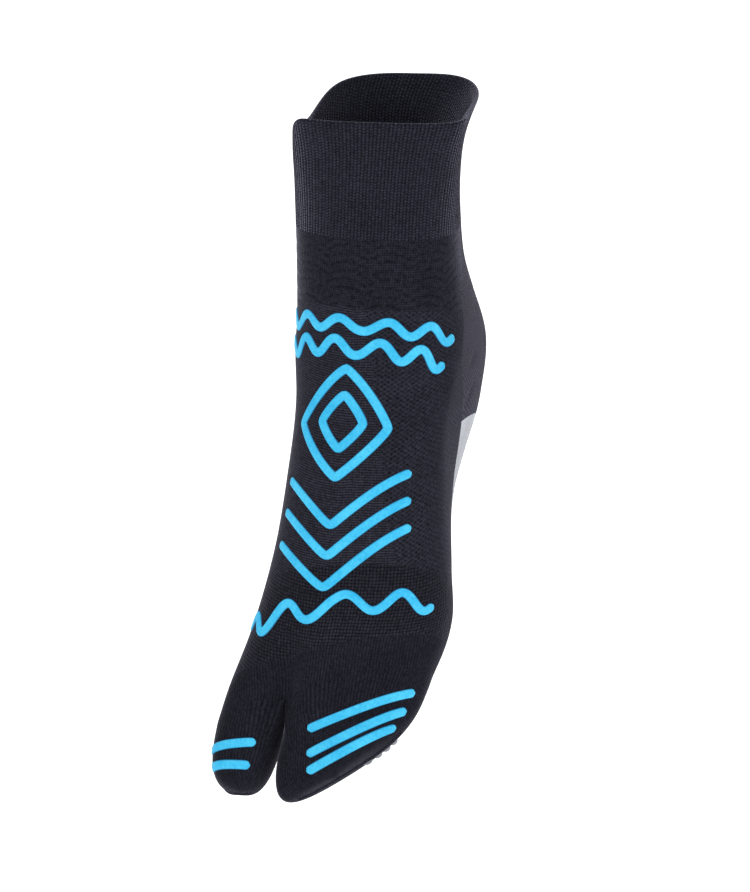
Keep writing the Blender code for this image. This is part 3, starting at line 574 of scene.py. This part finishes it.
# Print, seams and grips
def evenly(points, others, step):
    """A path and its companion rows at even steps along it."""
    run = np.concatenate([[0.0], np.cumsum(np.linalg.norm(np.diff(points, axis=0), axis=1))])
    line = np.linspace(0, run[-1], int(np.ceil(run[-1] / step)) + 1)

    def read(values):
        return np.stack([np.interp(line, run, values[:, k]) for k in range(values.shape[1])], -1)
    return read(points), read(others), line


def ribbon(name, path, normal, line, width, low, high, roundness, finish, closed=False):
    """A rounded band along a path on the knit.

    Across it the top is a superellipse from edge to edge, and its open ends narrow to
    half circles. The underside is flat, a little below the knit's face.
    """
    if closed:
        ahead = np.roll(path[:-1], -1, 0) - np.roll(path[:-1], 1, 0)
        ahead = np.concatenate([ahead, ahead[:1]])
    else:
        ahead = np.gradient(path, axis=0)
    side = np.cross(normal, ahead)
    side /= np.linalg.norm(side, axis=1, keepdims=True)
    from_end = np.minimum(line, line[-1] - line) / (width / 2)
    narrow = np.ones_like(line) if closed else np.sqrt(1 - (1 - from_end.clip(0.03, 1)) ** 2)
    across = -np.cos(np.linspace(0.06, np.pi - 0.06, RIBBON_COLUMNS))
    arch = (1 - np.abs(across) ** roundness) ** 0.5
    reach = (narrow[:, None] * across[None, :] * width / 2)[..., None]
    lift = (low + (high - low) * narrow[:, None] ** 0.5 * arch[None, :])[..., None]
    top = path[:, None] + side[:, None] * reach + normal[:, None] * lift
    base = path[:, None] + side[:, None] * reach + normal[:, None] * (low - 0.0001)
    lengths = np.stack([across[None, :] * narrow[:, None] * width / 2,
                        line[:, None] + 0 * across[None, :]], -1)
    order = (1, 0, 2)
    return body(name, top.transpose(order), base.transpose(order), lengths.transpose(order),
                finish, wrap=closed)


def tube_ribbon(name, s, angle, finish, closed=False):
    """A printed ribbon along a curve on the tube."""
    normal = normal_of(tube, s, angle, *TUBE_PROBE)
    path, normal, line = evenly(tube(s, angle), normal, RIBBON_CELL)
    normal /= np.linalg.norm(normal, axis=1, keepdims=True)
    if closed:
        path[-1], normal[-1] = path[0], normal[0]
    return ribbon(name, path, normal, line, PRINT_WIDTH, -PRINT_SINK, PRINT_HEIGHT, 6.0,
                  finish, closed)


def angle_across(s, across):
    """Angle on the instep side of a point at a share of the section's half width."""
    rows = smooth_table(STATIONS, SECTIONS, s)
    corner = columns(rows)["front_power"]
    return np.arccos(np.clip(np.sign(across) * np.abs(across) ** (corner / 2), -1, 1))


def pocket_surface(which):
    """The named pocket as a surface of two parameters."""
    return lambda t, v: pocket(which, t, v)


def printed_pattern(ink):
    """Waves, nested diamonds and chevrons on the tube, and hoops on the toe pockets."""
    u = np.linspace(0, 1, CURVE_POINTS)
    for name, share, count, low, high in WAVES:
        s = share * TUBE_LENGTH + WAVE_SWING * np.sin(2 * np.pi * count * u)
        tube_ribbon(name, s, np.radians(low + (high - low) * u), ink)
    for name, size, half_width in DIAMONDS:
        along = power(np.sin(2 * np.pi * u), DIAMOND_POWER)
        across = DIAMOND_CENTRE[1] + half_width * power(np.cos(2 * np.pi * u), DIAMOND_POWER)
        s = DIAMOND_CENTRE[0] * TUBE_LENGTH + size * DIAMOND_LENGTH / 2 * along
        tube_ribbon(name, s, angle_across(s, across), ink, closed=True)
    across = np.linspace(*CHEVRON_ENDS, CURVE_POINTS)
    arm = np.hypot(across - DIAMOND_CENTRE[1], CHEVRON_ROUND)
    for name, share in CHEVRONS:
        s = share * TUBE_LENGTH - CHEVRON_RISE * arm
        tube_ribbon(name, s, angle_across(s, across), ink)
    for name, which, share, low, high in HOOPS:
        surface = pocket_surface(which)
        t, v = share + 0 * u, low + (high - low) * u
        normal = normal_of(surface, t, v, POCKET_PROBE, POCKET_PROBE)
        path, normal, line = evenly(surface(t, v), normal, RIBBON_CELL)
        normal /= np.linalg.norm(normal, axis=1, keepdims=True)
        ribbon(name, path, normal, line, PRINT_WIDTH, -PRINT_SINK, PRINT_HEIGHT, 6.0,
               ink)


def edge_seam(name, which, start_v, end_v, from_t, to_t, thread):
    """The linking seam: a round ridge round the pocket's edge and over its tip."""
    half = np.linspace(0, 1, CURVE_POINTS)
    t = np.concatenate([from_t + (TIP_TURN - from_t) * half, TIP_TURN + (to_t - TIP_TURN) * half])
    v = np.concatenate([start_v + 0 * half, end_v + 0 * half])
    surface = pocket_surface(which)
    normal = normal_of(surface, t, v, POCKET_PROBE, POCKET_PROBE)
    path, normal, line = evenly(surface(t, v), normal, RIBBON_CELL)
    for _ in range(3):
        normal[1:-1] = (normal[:-2] + 2 * normal[1:-1] + normal[2:]) / 4
        path[1:-1] = (path[:-2] + 2 * path[1:-1] + path[2:]) / 4
    normal /= np.linalg.norm(normal, axis=1, keepdims=True)
    return ribbon(name, path, normal, line, SEAM_WIDTH, -PRINT_SINK, SEAM_HEIGHT, 2.0,
                  thread)


def grip_field(name, surface, a_range, b_range, counts, steps, silicone):
    """A silicone film just under the knit's face, with a round dome in each of its cells."""
    around = [np.linspace(0, n, n * DOT_CELLS + 1) for n in counts]
    x, y = np.meshgrid(*around, indexing="ij")
    off = np.hypot(x % 1 - 0.5, y % 1 - 0.5) / DOT_RADIUS
    dome = np.sqrt(np.clip(1 - off**2, 0, 1)) * (DOME_HEIGHT + FILM_SINK)
    a = a_range[0] + (a_range[1] - a_range[0]) * x / counts[0]
    b = b_range[0] + (b_range[1] - b_range[0]) * y / counts[1]
    point = surface(a, b)
    normal = normal_of(surface, a, b, *steps)
    outer = point + normal * (dome - FILM_SINK)[..., None]
    inner = point - normal * 4 * FILM_SINK
    lengths = np.stack([x, y], -1) * GRIP_PITCH
    return body(name, outer, inner, lengths, silicone)


def sole_surface(s, across):
    """Point of the sole side at a share of the section's half width."""
    rows = smooth_table(STATIONS, SECTIONS, s)
    corner = columns(rows)["back_power"]
    return tube(s, -np.arccos(np.clip(np.sign(across) * np.abs(across) ** (corner / 2), -1, 1)))


def grips(silicone):
    """Dot fields under the heel, the ball and the toes, and a row on the toes' edge."""
    def count(length, pitch):
        return max(1, round(length / pitch))
    pocket_steps = (POCKET_PROBE, POCKET_PROBE)
    for name, s0, s1, low, high, length, width in SOLE_GRIPS:
        dots = count(length, GRIP_PITCH), count(width, GRIP_PITCH)
        grip_field(name, sole_surface, (s0 * TUBE_LENGTH, s1 * TUBE_LENGTH), (low, high),
                   dots, (TUBE_PROBE[0], TUBE_PROBE[1] / 2), silicone)
    for name, which, t0, t1, low, high, length, width in POCKET_GRIPS:
        dots = count(length, GRIP_PITCH), count(width, GRIP_PITCH)
        grip_field(name, pocket_surface(which), (t0, t1), (low, high), dots, pocket_steps, silicone)
    name, which, t0, t1, low, high, length = EDGE_GRIPS
    grip_field(name, pocket_surface(which), (t0, t1), (low, high),
               (count(length, EDGE_GRIP_PITCH), 1), pocket_steps, silicone)


# Materials
def linear(hex_colour):
    """Linear RGBA of an sRGB hex colour."""
    value = np.array([int(hex_colour[i:i + 2], 16) for i in (1, 3, 5)]) / 255
    value = np.where(value <= 0.04045, value / 12.92, ((value + 0.055) / 1.055) ** 2.4)
    return (*value.tolist(), 1.0)


def add(tree, kind, *values, into=(), **settings):
    """Adds a node, applies its settings and fills its inputs in order or by name.

    A word after the node's kind is its operation, as in Math SINE. A node or a socket
    among the values is linked, and any other value is set on the socket.
    """
    kind, _, operation = kind.partition(" ")
    made = tree.nodes.new("ShaderNode" + kind)
    if operation:
        made.operation = operation
    for name, value in settings.items():
        setattr(made, name, value)
    for key, value in [*enumerate(values), *dict(into).items()]:
        if isinstance(value, bpy.types.Node):
            value = value.outputs[0]
        if isinstance(value, bpy.types.NodeSocket):
            tree.links.new(value, made.inputs[key])
        else:
            made.inputs[key].default_value = value
    return made


def wave(tree, along, period):
    """A sine of one period, from 0 to 1."""
    turn = add(tree, "Math MULTIPLY", along, 2 * np.pi / period)
    return add(tree, "Math MULTIPLY_ADD", add(tree, "Math SINE", turn), 0.5, 0.5)


def ridges(tree, along, pitch, sharpness):
    """Round ridges of one pitch with narrow grooves between them."""
    turn = add(tree, "Math MULTIPLY", along, np.pi / pitch)
    size = add(tree, "Math ABSOLUTE", add(tree, "Math SINE", turn))
    return add(tree, "Math POWER", size, sharpness)


def loops(tree, x, y, wale, course):
    """Knit stitches: each wale is a column of V shapes, two slanting legs to a course."""
    leg = add(tree, "Math PINGPONG", x, wale / 2)
    row = add(tree, "Math MULTIPLY_ADD", leg, 1.1 * course / wale, y)
    column = add(tree, "Math MULTIPLY_ADD", ridges(tree, x, wale, 0.8), 0.7, 0.3)
    return add(tree, "Math MULTIPLY", wave(tree, row, course), column)


def patchy(tree, x, y, scale, low):
    """Soft noise over the knit, from low to 1, that breaks a line into dashes."""
    place = add(tree, "CombineXYZ", x, y)
    noise = add(tree, "TexNoise", into={"Vector": place, "Scale": scale, "Detail": 1.0})
    return add(tree, "MapRange", noise, 0.42, 0.58, low, 1.0)


def rib_pattern(tree, x, y):
    """Ribs of round stitches: those of one rib lie half a stitch below its neighbour's."""
    leg = add(tree, "Math PINGPONG", add(tree, "Math ADD", x, RIB_PITCH / 2), RIB_PITCH)
    staggered = add(tree, "Math MULTIPLY_ADD", leg, BEAD_PITCH / (2 * RIB_PITCH), y)
    bead = add(tree, "Math MULTIPLY_ADD", wave(tree, staggered, BEAD_PITCH), 0.6, 0.4)
    return add(tree, "Math MULTIPLY", ridges(tree, x, RIB_PITCH, 0.7), bead)


def band_pattern(tree, x, y):
    """Fine plain stitches, and dashes of painted shade where tucks sink along rows that arch round
    the leg.
    """
    arch = ridges(tree, x, SCALLOP_ACROSS, 1.0)
    row = add(tree, "Math MULTIPLY_ADD", arch, SCALLOP_RISE, y)
    line = ridges(tree, row, SCALLOP_DOWN / 2, 0.5)
    tuck = add(tree, "Math MAXIMUM", line, patchy(tree, x, y, DASHES, 0.0))
    deep = add(tree, "Math MULTIPLY_ADD", tuck, 0.75, 0.25)
    course = add(tree, "Math MULTIPLY_ADD", wave(tree, y, BAND_STITCH), 0.35, 0.2)
    fine = add(tree, "Math MULTIPLY_ADD", ridges(tree, x, BAND_STITCH, 0.8), 0.5, course)
    return add(tree, "Math MULTIPLY", fine, deep)


def pique_pattern(tree, x, y):
    """Bird's-eye mesh: a staggered lattice of small soft holes among round stitches."""
    across = add(tree, "Math COSINE", add(tree, "Math MULTIPLY", x, 2 * np.pi / MESH_ACROSS))
    down = add(tree, "Math COSINE", add(tree, "Math MULTIPLY", y, 2 * np.pi / MESH_DOWN))
    product = add(tree, "Math MULTIPLY", across, down)
    hole = add(tree, "Math POWER", add(tree, "Math MULTIPLY_ADD", product, 0.5, 0.5), 2.0)
    open_knit = add(tree, "Math MULTIPLY", hole, patchy(tree, x, y, HOLE_DEPTHS, 0.55))
    return add(tree, "Math MULTIPLY_ADD", open_knit, -0.85, 0.85)


def jersey_pattern(tree, x, y):
    """Plain knit seen as fine courses round the foot, crossed by faint wales."""
    wales = add(tree, "Math MULTIPLY_ADD", ridges(tree, x, JERSEY_WALE, 0.6), 0.45, 0.55)
    return add(tree, "Math MULTIPLY", ridges(tree, y, JERSEY_COURSE, 0.9), wales)


def square_pattern(tree, x, y):
    """Fine squares: upright wales crossed by courses of one pitch."""
    wales = ridges(tree, x, SQUARE_PITCH, 0.6)
    return add(tree, "Math MULTIPLY", wales, ridges(tree, y, SQUARE_PITCH, 0.6))


def terry_pattern(tree, x, y):
    """Cushioned knit seen from its plain face: soft stitches and a faint upright grain."""
    grain = add(tree, "Math MULTIPLY_ADD", ridges(tree, x, TERRY_GRAIN, 0.5), 0.4, 0.6)
    return add(tree, "Math MULTIPLY", loops(tree, x, y, TERRY_WALE, TERRY_COURSE), grain)


def elastic_pattern(tree, x, y):
    """Elastic rib: bold courses round the foot, crossed by fine wales."""
    wales = add(tree, "Math MULTIPLY_ADD", ridges(tree, x, ELASTIC_WALE, 0.5), 0.5, 0.5)
    return add(tree, "Math MULTIPLY", ridges(tree, y, ELASTIC_COURSE, 0.6), wales)


def toe_pattern(tree, x, y):
    """Close ribs that run to the toes' tips, with small soft loops along them."""
    loop = add(tree, "Math MULTIPLY_ADD", wave(tree, y, TOE_LOOP), 0.3, 0.7)
    rib = add(tree, "Math MULTIPLY_ADD", ridges(tree, x, TOE_RIB, 0.8), 0.8, 0.2)
    return add(tree, "Math MULTIPLY", rib, loop)


def seam_pattern(tree, x, y):
    """Slanting stitches that wrap a ridge."""
    return ridges(tree, add(tree, "Math MULTIPLY_ADD", x, 0.8, y), SEAM_STITCH, 0.6)


def knit(name, yarn, painted_groove_shade, pattern, depth, sheen=0.3, heather=0.3, drift=0.0008):
    """A knit of matt spun yarn: light on its stitches, dark with painted shade between them, pale at
    the edges.

    The height of the pattern mixes the two colours and drives the bump; the groove
    colour is painted shade, laid where the stitches sink. Short noise makes some
    stitches lighter than others, as a heathered yarn does, slow noise varies the tone,
    and fine noise breaks the stitches up into fibres. drift is how far, in metres, the
    rows wander off their lines.
    """
    made = bpy.data.materials.new(name)
    made.use_nodes = True
    tree = made.node_tree
    shader = tree.nodes["Principled BSDF"]
    spot = add(tree, "TexCoord")
    place = spot.outputs["Object"]
    wander = add(tree, "TexNoise", into={"Vector": place, "Scale": WANDERING, "Detail": 1.0})
    nudge = add(tree, "VectorMath SUBTRACT", wander.outputs["Color"], (0.5, 0.5, 0.5))
    push = add(tree, "VectorMath SCALE", nudge, into={"Scale": drift})
    moved = add(tree, "VectorMath ADD", spot.outputs["UV"], push)
    split = add(tree, "SeparateXYZ", moved)
    height = pattern(tree, split.outputs["X"], split.outputs["Y"])
    fibre = add(tree, "TexNoise", into={"Vector": place, "Scale": FIBRES, "Detail": 2.0})
    short = add(tree, "TexNoise", into={"Vector": place, "Scale": HEATHER, "Detail": 2.0})
    slow = add(tree, "TexNoise", into={"Vector": place, "Scale": TONES, "Detail": 3.0})
    level = add(tree, "Math MULTIPLY_ADD", fibre, 0.4, add(tree, "Math SUBTRACT", height, 0.2))
    # Painted shade: the low parts of the pattern take the dark groove colour
    colour = add(tree, "MixRGB", level, linear(painted_groove_shade), linear(yarn), use_clamp=True)
    speckle = add(tree, "MapRange", short, 0.35, 0.65, 1 - heather, 1 + heather)
    shift = add(tree, "MapRange", slow, 0.3, 0.7, 0.88, 1.12)
    gain = add(tree, "Math MULTIPLY", speckle, shift)
    varied = add(tree, "MixRGB", 1.0, colour, gain, blend_type="MULTIPLY")
    relief = add(tree, "Math MULTIPLY_ADD", fibre, 0.25, height)
    bump = add(tree, "Bump", into={"Strength": 0.9, "Distance": depth, "Height": relief})
    tree.links.new(varied.outputs[0], shader.inputs["Base Color"])
    tree.links.new(bump.outputs[0], shader.inputs["Normal"])
    for socket, value in {"Roughness": 0.95, "IOR": 1.5, "Specular IOR Level": 0.04,
                          "Sheen Weight": sheen, "Sheen Roughness": 0.32}.items():
        shader.inputs[socket].default_value = value
    shader.inputs["Sheen Tint"].default_value = linear("#c0bed2")
    return made


def screen_print():
    """Raised plastisol ink, screen printed and cured: satin, its rounded edges darkened with painted
    shade.

    The knit under it telegraphs through as a faint stitch bump, and pigment speckles it.
    """
    made = bpy.data.materials.new("screen_printed_plastisol_ink")
    made.use_nodes = True
    tree = made.node_tree
    shader = tree.nodes["Principled BSDF"]
    spot = add(tree, "TexCoord")
    place = spot.outputs["Object"]
    split = add(tree, "SeparateXYZ", spot.outputs["UV"])
    off = add(tree, "Math ABSOLUTE", add(tree, "Math DIVIDE", split.outputs["X"], PRINT_WIDTH / 2))
    # Painted shade: towards both edges of a ribbon the ink turns to the darker blue #107cae
    edge = add(tree, "MapRange", off, 0.72, 1.0, 0.0, 1.0, interpolation_type="SMOOTHSTEP")
    speck = add(tree, "TexNoise", into={"Vector": place, "Scale": SPECKS, "Detail": 2.0})
    tone = add(tree, "TexNoise", into={"Vector": place, "Scale": INK_TONES, "Detail": 2.0})
    mixed = add(tree, "Math MULTIPLY_ADD", tone, 0.5, add(tree, "Math MULTIPLY", speck, 0.5))
    share = add(tree, "MapRange", mixed, 0.35, 0.65, 0.0, 1.0)
    fill = add(tree, "MixRGB", share, linear("#1fa7d8"), linear("#45c0e7"))
    colour = add(tree, "MixRGB", edge, fill, linear("#107cae"))
    under = loops(tree, split.outputs["X"], split.outputs["Y"], UNDER_WALE, UNDER_COURSE)
    relief = add(tree, "Math MULTIPLY_ADD", under, 0.5, speck)
    bump = add(tree, "Bump", into={"Strength": 0.5, "Distance": 0.0001, "Height": relief})
    tree.links.new(colour.outputs[0], shader.inputs["Base Color"])
    tree.links.new(bump.outputs[0], shader.inputs["Normal"])
    for socket, value in {"Roughness": 0.55, "IOR": 1.5, "Specular IOR Level": 0.3}.items():
        shader.inputs[socket].default_value = value
    return made


def silicone_grip():
    """Moulded silicone rubber, clear grey: smooth domes, a little dusty, light on their rims."""
    made = bpy.data.materials.new("moulded_silicone_rubber")
    made.use_nodes = True
    tree = made.node_tree
    shader = tree.nodes["Principled BSDF"]
    spot = add(tree, "TexCoord")
    place = spot.outputs["Object"]
    dust = add(tree, "TexNoise", into={"Vector": place, "Scale": DUST, "Detail": 3.0})
    colour = add(tree, "MixRGB", dust, linear("#84878f"), linear("#a3a6ad"))
    rough = add(tree, "MapRange", dust, 0.3, 0.7, 0.28, 0.5)
    bump = add(tree, "Bump", into={"Strength": 0.3, "Distance": 0.00005, "Height": dust})
    tree.links.new(colour.outputs[0], shader.inputs["Base Color"])
    tree.links.new(rough.outputs[0], shader.inputs["Roughness"])
    tree.links.new(bump.outputs[0], shader.inputs["Normal"])
    shader.inputs["IOR"].default_value = 1.43
    return made


# The object
def dress():
    """Builds every zone, pocket, seam, printed ribbon and grip."""
    # In every knit below, the second colour is painted shade that fills the grooves and holes
    # between its stitches
    # Elastane and polyamide in one-by-one rib: soft upright columns, pale where they turn away
    rib = knit("ribbed_elastane_knit", "#2e2e39", "#0a0a0e", rib_pattern, 0.0003,
               sheen=0.7, drift=0.0004)
    # Polyamide with tuck stitches: a flat fine knit, with painted shade in dashes where loops are
    # held back
    band = knit("scalloped_tuck_knit", "#25252e", "#050507", band_pattern, 0.0002,
                sheen=0.5, drift=0.0004)
    # Plain-knitted polyamide: fine even courses round the instep, matt
    jersey = knit("plain_polyamide_knit", "#30303a", "#0a0a0e", jersey_pattern, 0.0002, drift=0.0005)
    # Polyamide with stitches moved aside: soft holes in staggered rows, dark with painted shade
    mesh = knit("birdseye_mesh_knit", "#2b2b35", "#070709", pique_pattern, 0.0003, drift=0.0005)
    # Polyamide in small squares over the forefoot: crossed ribs, a little darker
    square = knit("square_rib_knit", "#282831", "#07070a", square_pattern, 0.0003)
    # Cotton and polyamide with loops inside: thick, soft and the lightest of the dark knits
    heel = knit("cushioned_heel_knit", "#393843", "#1b1a21", terry_pattern, 0.0003, heather=0.18)
    sole = knit("cushioned_sole_knit", "#3a3945", "#1b1b23", terry_pattern, 0.0003, heather=0.18)
    # Elastane with undyed grey polyamide: bold even courses that grip the arch
    arch = knit("elastic_arch_knit", "#c4c7cc", "#90949b", elastic_pattern, 0.0003,
                sheen=0.1, heather=0.06)
    # Polyamide in close ribs along the toes: the darkest knit, with a fine upright grain
    toe = knit("close_ribbed_toe_knit", "#22222b", "#08080b", toe_pattern, 0.0002)
    # Spun polyamide thread, linked by machine: slanting stitches over a low ridge
    thread = knit("linked_seam_spun_thread", "#2b2b35", "#08080b", seam_pattern, 0.0003, sheen=0.1)
    ink, silicone = screen_print(), silicone_grip()

    cuff_end = CUFF_LENGTH
    band_end = CUFF_LENGTH + BAND_LENGTH
    arch_end, mesh_end = ARCH_END * TUBE_LENGTH, MESH_END * TUBE_LENGTH
    box_start = TOE_BOX_START * TUBE_LENGTH
    cuff(rib)
    zone("ankle_band", at(cuff_end), at(band_end), sole_edge_out, sole_edge_in, 90,
         BAND_WALL, band, tucks)
    zone("heel_pocket", at(cuff_end), heel_end, sole_edge_in, whole_turn, 270,
         HEEL_WALL, heel, dents)
    zone("lateral_mesh_panel", at(band_end), at(mesh_end), sole_edge_out, mesh_edge, 90,
         MESH_WALL, mesh)
    zone("instep_panel", at(band_end), at(mesh_end), mesh_edge, sole_edge_in, 90,
         JERSEY_WALL, jersey)
    zone("arch_panel", heel_end, at(arch_end), sole_edge_in, whole_turn, 270,
         ARCH_WALL, arch)
    zone("forefoot_panel", at(mesh_end), at(box_start), sole_edge_out, sole_edge_in, 90,
         JERSEY_WALL, square)
    zone("sole_panel", at(arch_end), at(box_start), sole_edge_in, whole_turn, 270,
         SOLE_WALL, sole)
    toe_ring(toe)
    toe_pocket("big_toe_pocket", "big_toe", BIG_TOE_COLUMNS, toe)
    toe_pocket("toes_pocket", "toes", TOES_COLUMNS, toe)
    for row in SEAMS:
        edge_seam(*row, thread)
    printed_pattern(ink)
    grips(silicone)


# Stage
FLOOR_DROP = 0.09
FLOOR_GLOW, WORLD_GLOW = 0.50, 0.60   # a lit white sweep: its own light keeps it near white
CAMERA_AZIMUTH, CAMERA_ELEVATION = np.radians(20.0), np.radians(20.0)
CAMERA_DISTANCE = 2.20
FOCAL_PIXELS = 5060.0
IMAGE = (750, 892)
TARGET = (0.0, -0.015, -0.140)
TARGET_PIXEL = (370.0, 420.0)
SENSOR = 36.0
# Soft round lamps: name, azimuth, elevation, distance, width and power
LAMPS = (("key", -15, 50, 1.7, 1.3, 13),
         ("fill", 80, 20, 1.8, 1.2, 8),
         ("rim", 200, 35, 1.8, 1.2, 10))


def stand():
    """Floor, soft studio lights, a pale world and the camera of the photograph's angle."""
    floor_mesh = bpy.data.meshes.new("floor")
    reach, level = 9.0, solid_box[0][2] - FLOOR_DROP
    floor_mesh.from_pydata([(-reach, -reach, level), (reach, -reach, level), (reach, reach, level),
                            (-reach, reach, level)], [], [(0, 1, 2, 3)])
    pale = bpy.data.materials.new("pale_studio_floor")
    pale.use_nodes = True
    shader = pale.node_tree.nodes["Principled BSDF"]
    shader.inputs["Emission Strength"].default_value = FLOOR_GLOW
    shader.inputs["Base Color"].default_value = linear("#f4f4f4")
    shader.inputs["Roughness"].default_value = 0.9
    shader.inputs["Emission Color"].default_value = linear("#ffffff")
    floor_mesh.materials.append(pale)
    floor = bpy.data.objects.new("floor", floor_mesh)
    bpy.context.scene.collection.objects.link(floor)

    world = bpy.data.worlds.new("pale_world")
    bpy.context.scene.world = world
    world.use_nodes = True
    world.node_tree.nodes["Background"].inputs["Color"].default_value = linear("#ffffff")
    world.node_tree.nodes["Background"].inputs["Strength"].default_value = WORLD_GLOW

    middle = Vector(TARGET)
    for name, azimuth, elevation, distance, size, energy in LAMPS:
        lamp = bpy.data.lights.new(name, "AREA")
        lamp.shape, lamp.size, lamp.energy = "DISK", size, energy
        made = bpy.data.objects.new(name, lamp)
        a, e = np.radians(azimuth), np.radians(elevation)
        away = Vector((np.sin(a) * np.cos(e), -np.cos(a) * np.cos(e), np.sin(e)))
        made.location = middle + away * distance
        made.rotation_euler = away.to_track_quat("Z", "Y").to_euler()
        bpy.context.scene.collection.objects.link(made)

    a, e = CAMERA_AZIMUTH, CAMERA_ELEVATION
    back = Vector((np.sin(a) * np.cos(e), -np.cos(a) * np.cos(e), np.sin(e)))
    right = Vector((np.cos(a), np.sin(a), 0.0))
    up = back.cross(right)
    metre = CAMERA_DISTANCE / FOCAL_PIXELS
    shift_right, shift_down = (IMAGE[k] / 2 - TARGET_PIXEL[k] for k in (0, 1))
    aim = middle + right * shift_right * metre - up * shift_down * metre
    lens = bpy.data.cameras.new("camera")
    lens.sensor_fit, lens.sensor_width = "HORIZONTAL", SENSOR
    lens.lens = FOCAL_PIXELS * SENSOR / IMAGE[0]
    lens.clip_end = 60.0
    camera = bpy.data.objects.new("camera", lens)
    turned = Matrix((right, up, back)).transposed().to_4x4()
    camera.matrix_world = Matrix.Translation(aim + back * CAMERA_DISTANCE) @ turned
    bpy.context.scene.collection.objects.link(camera)
    bpy.context.scene.camera = camera


stand()
bpy.context.scene.view_settings.view_transform = "Standard"   # product colours as they are
dress()
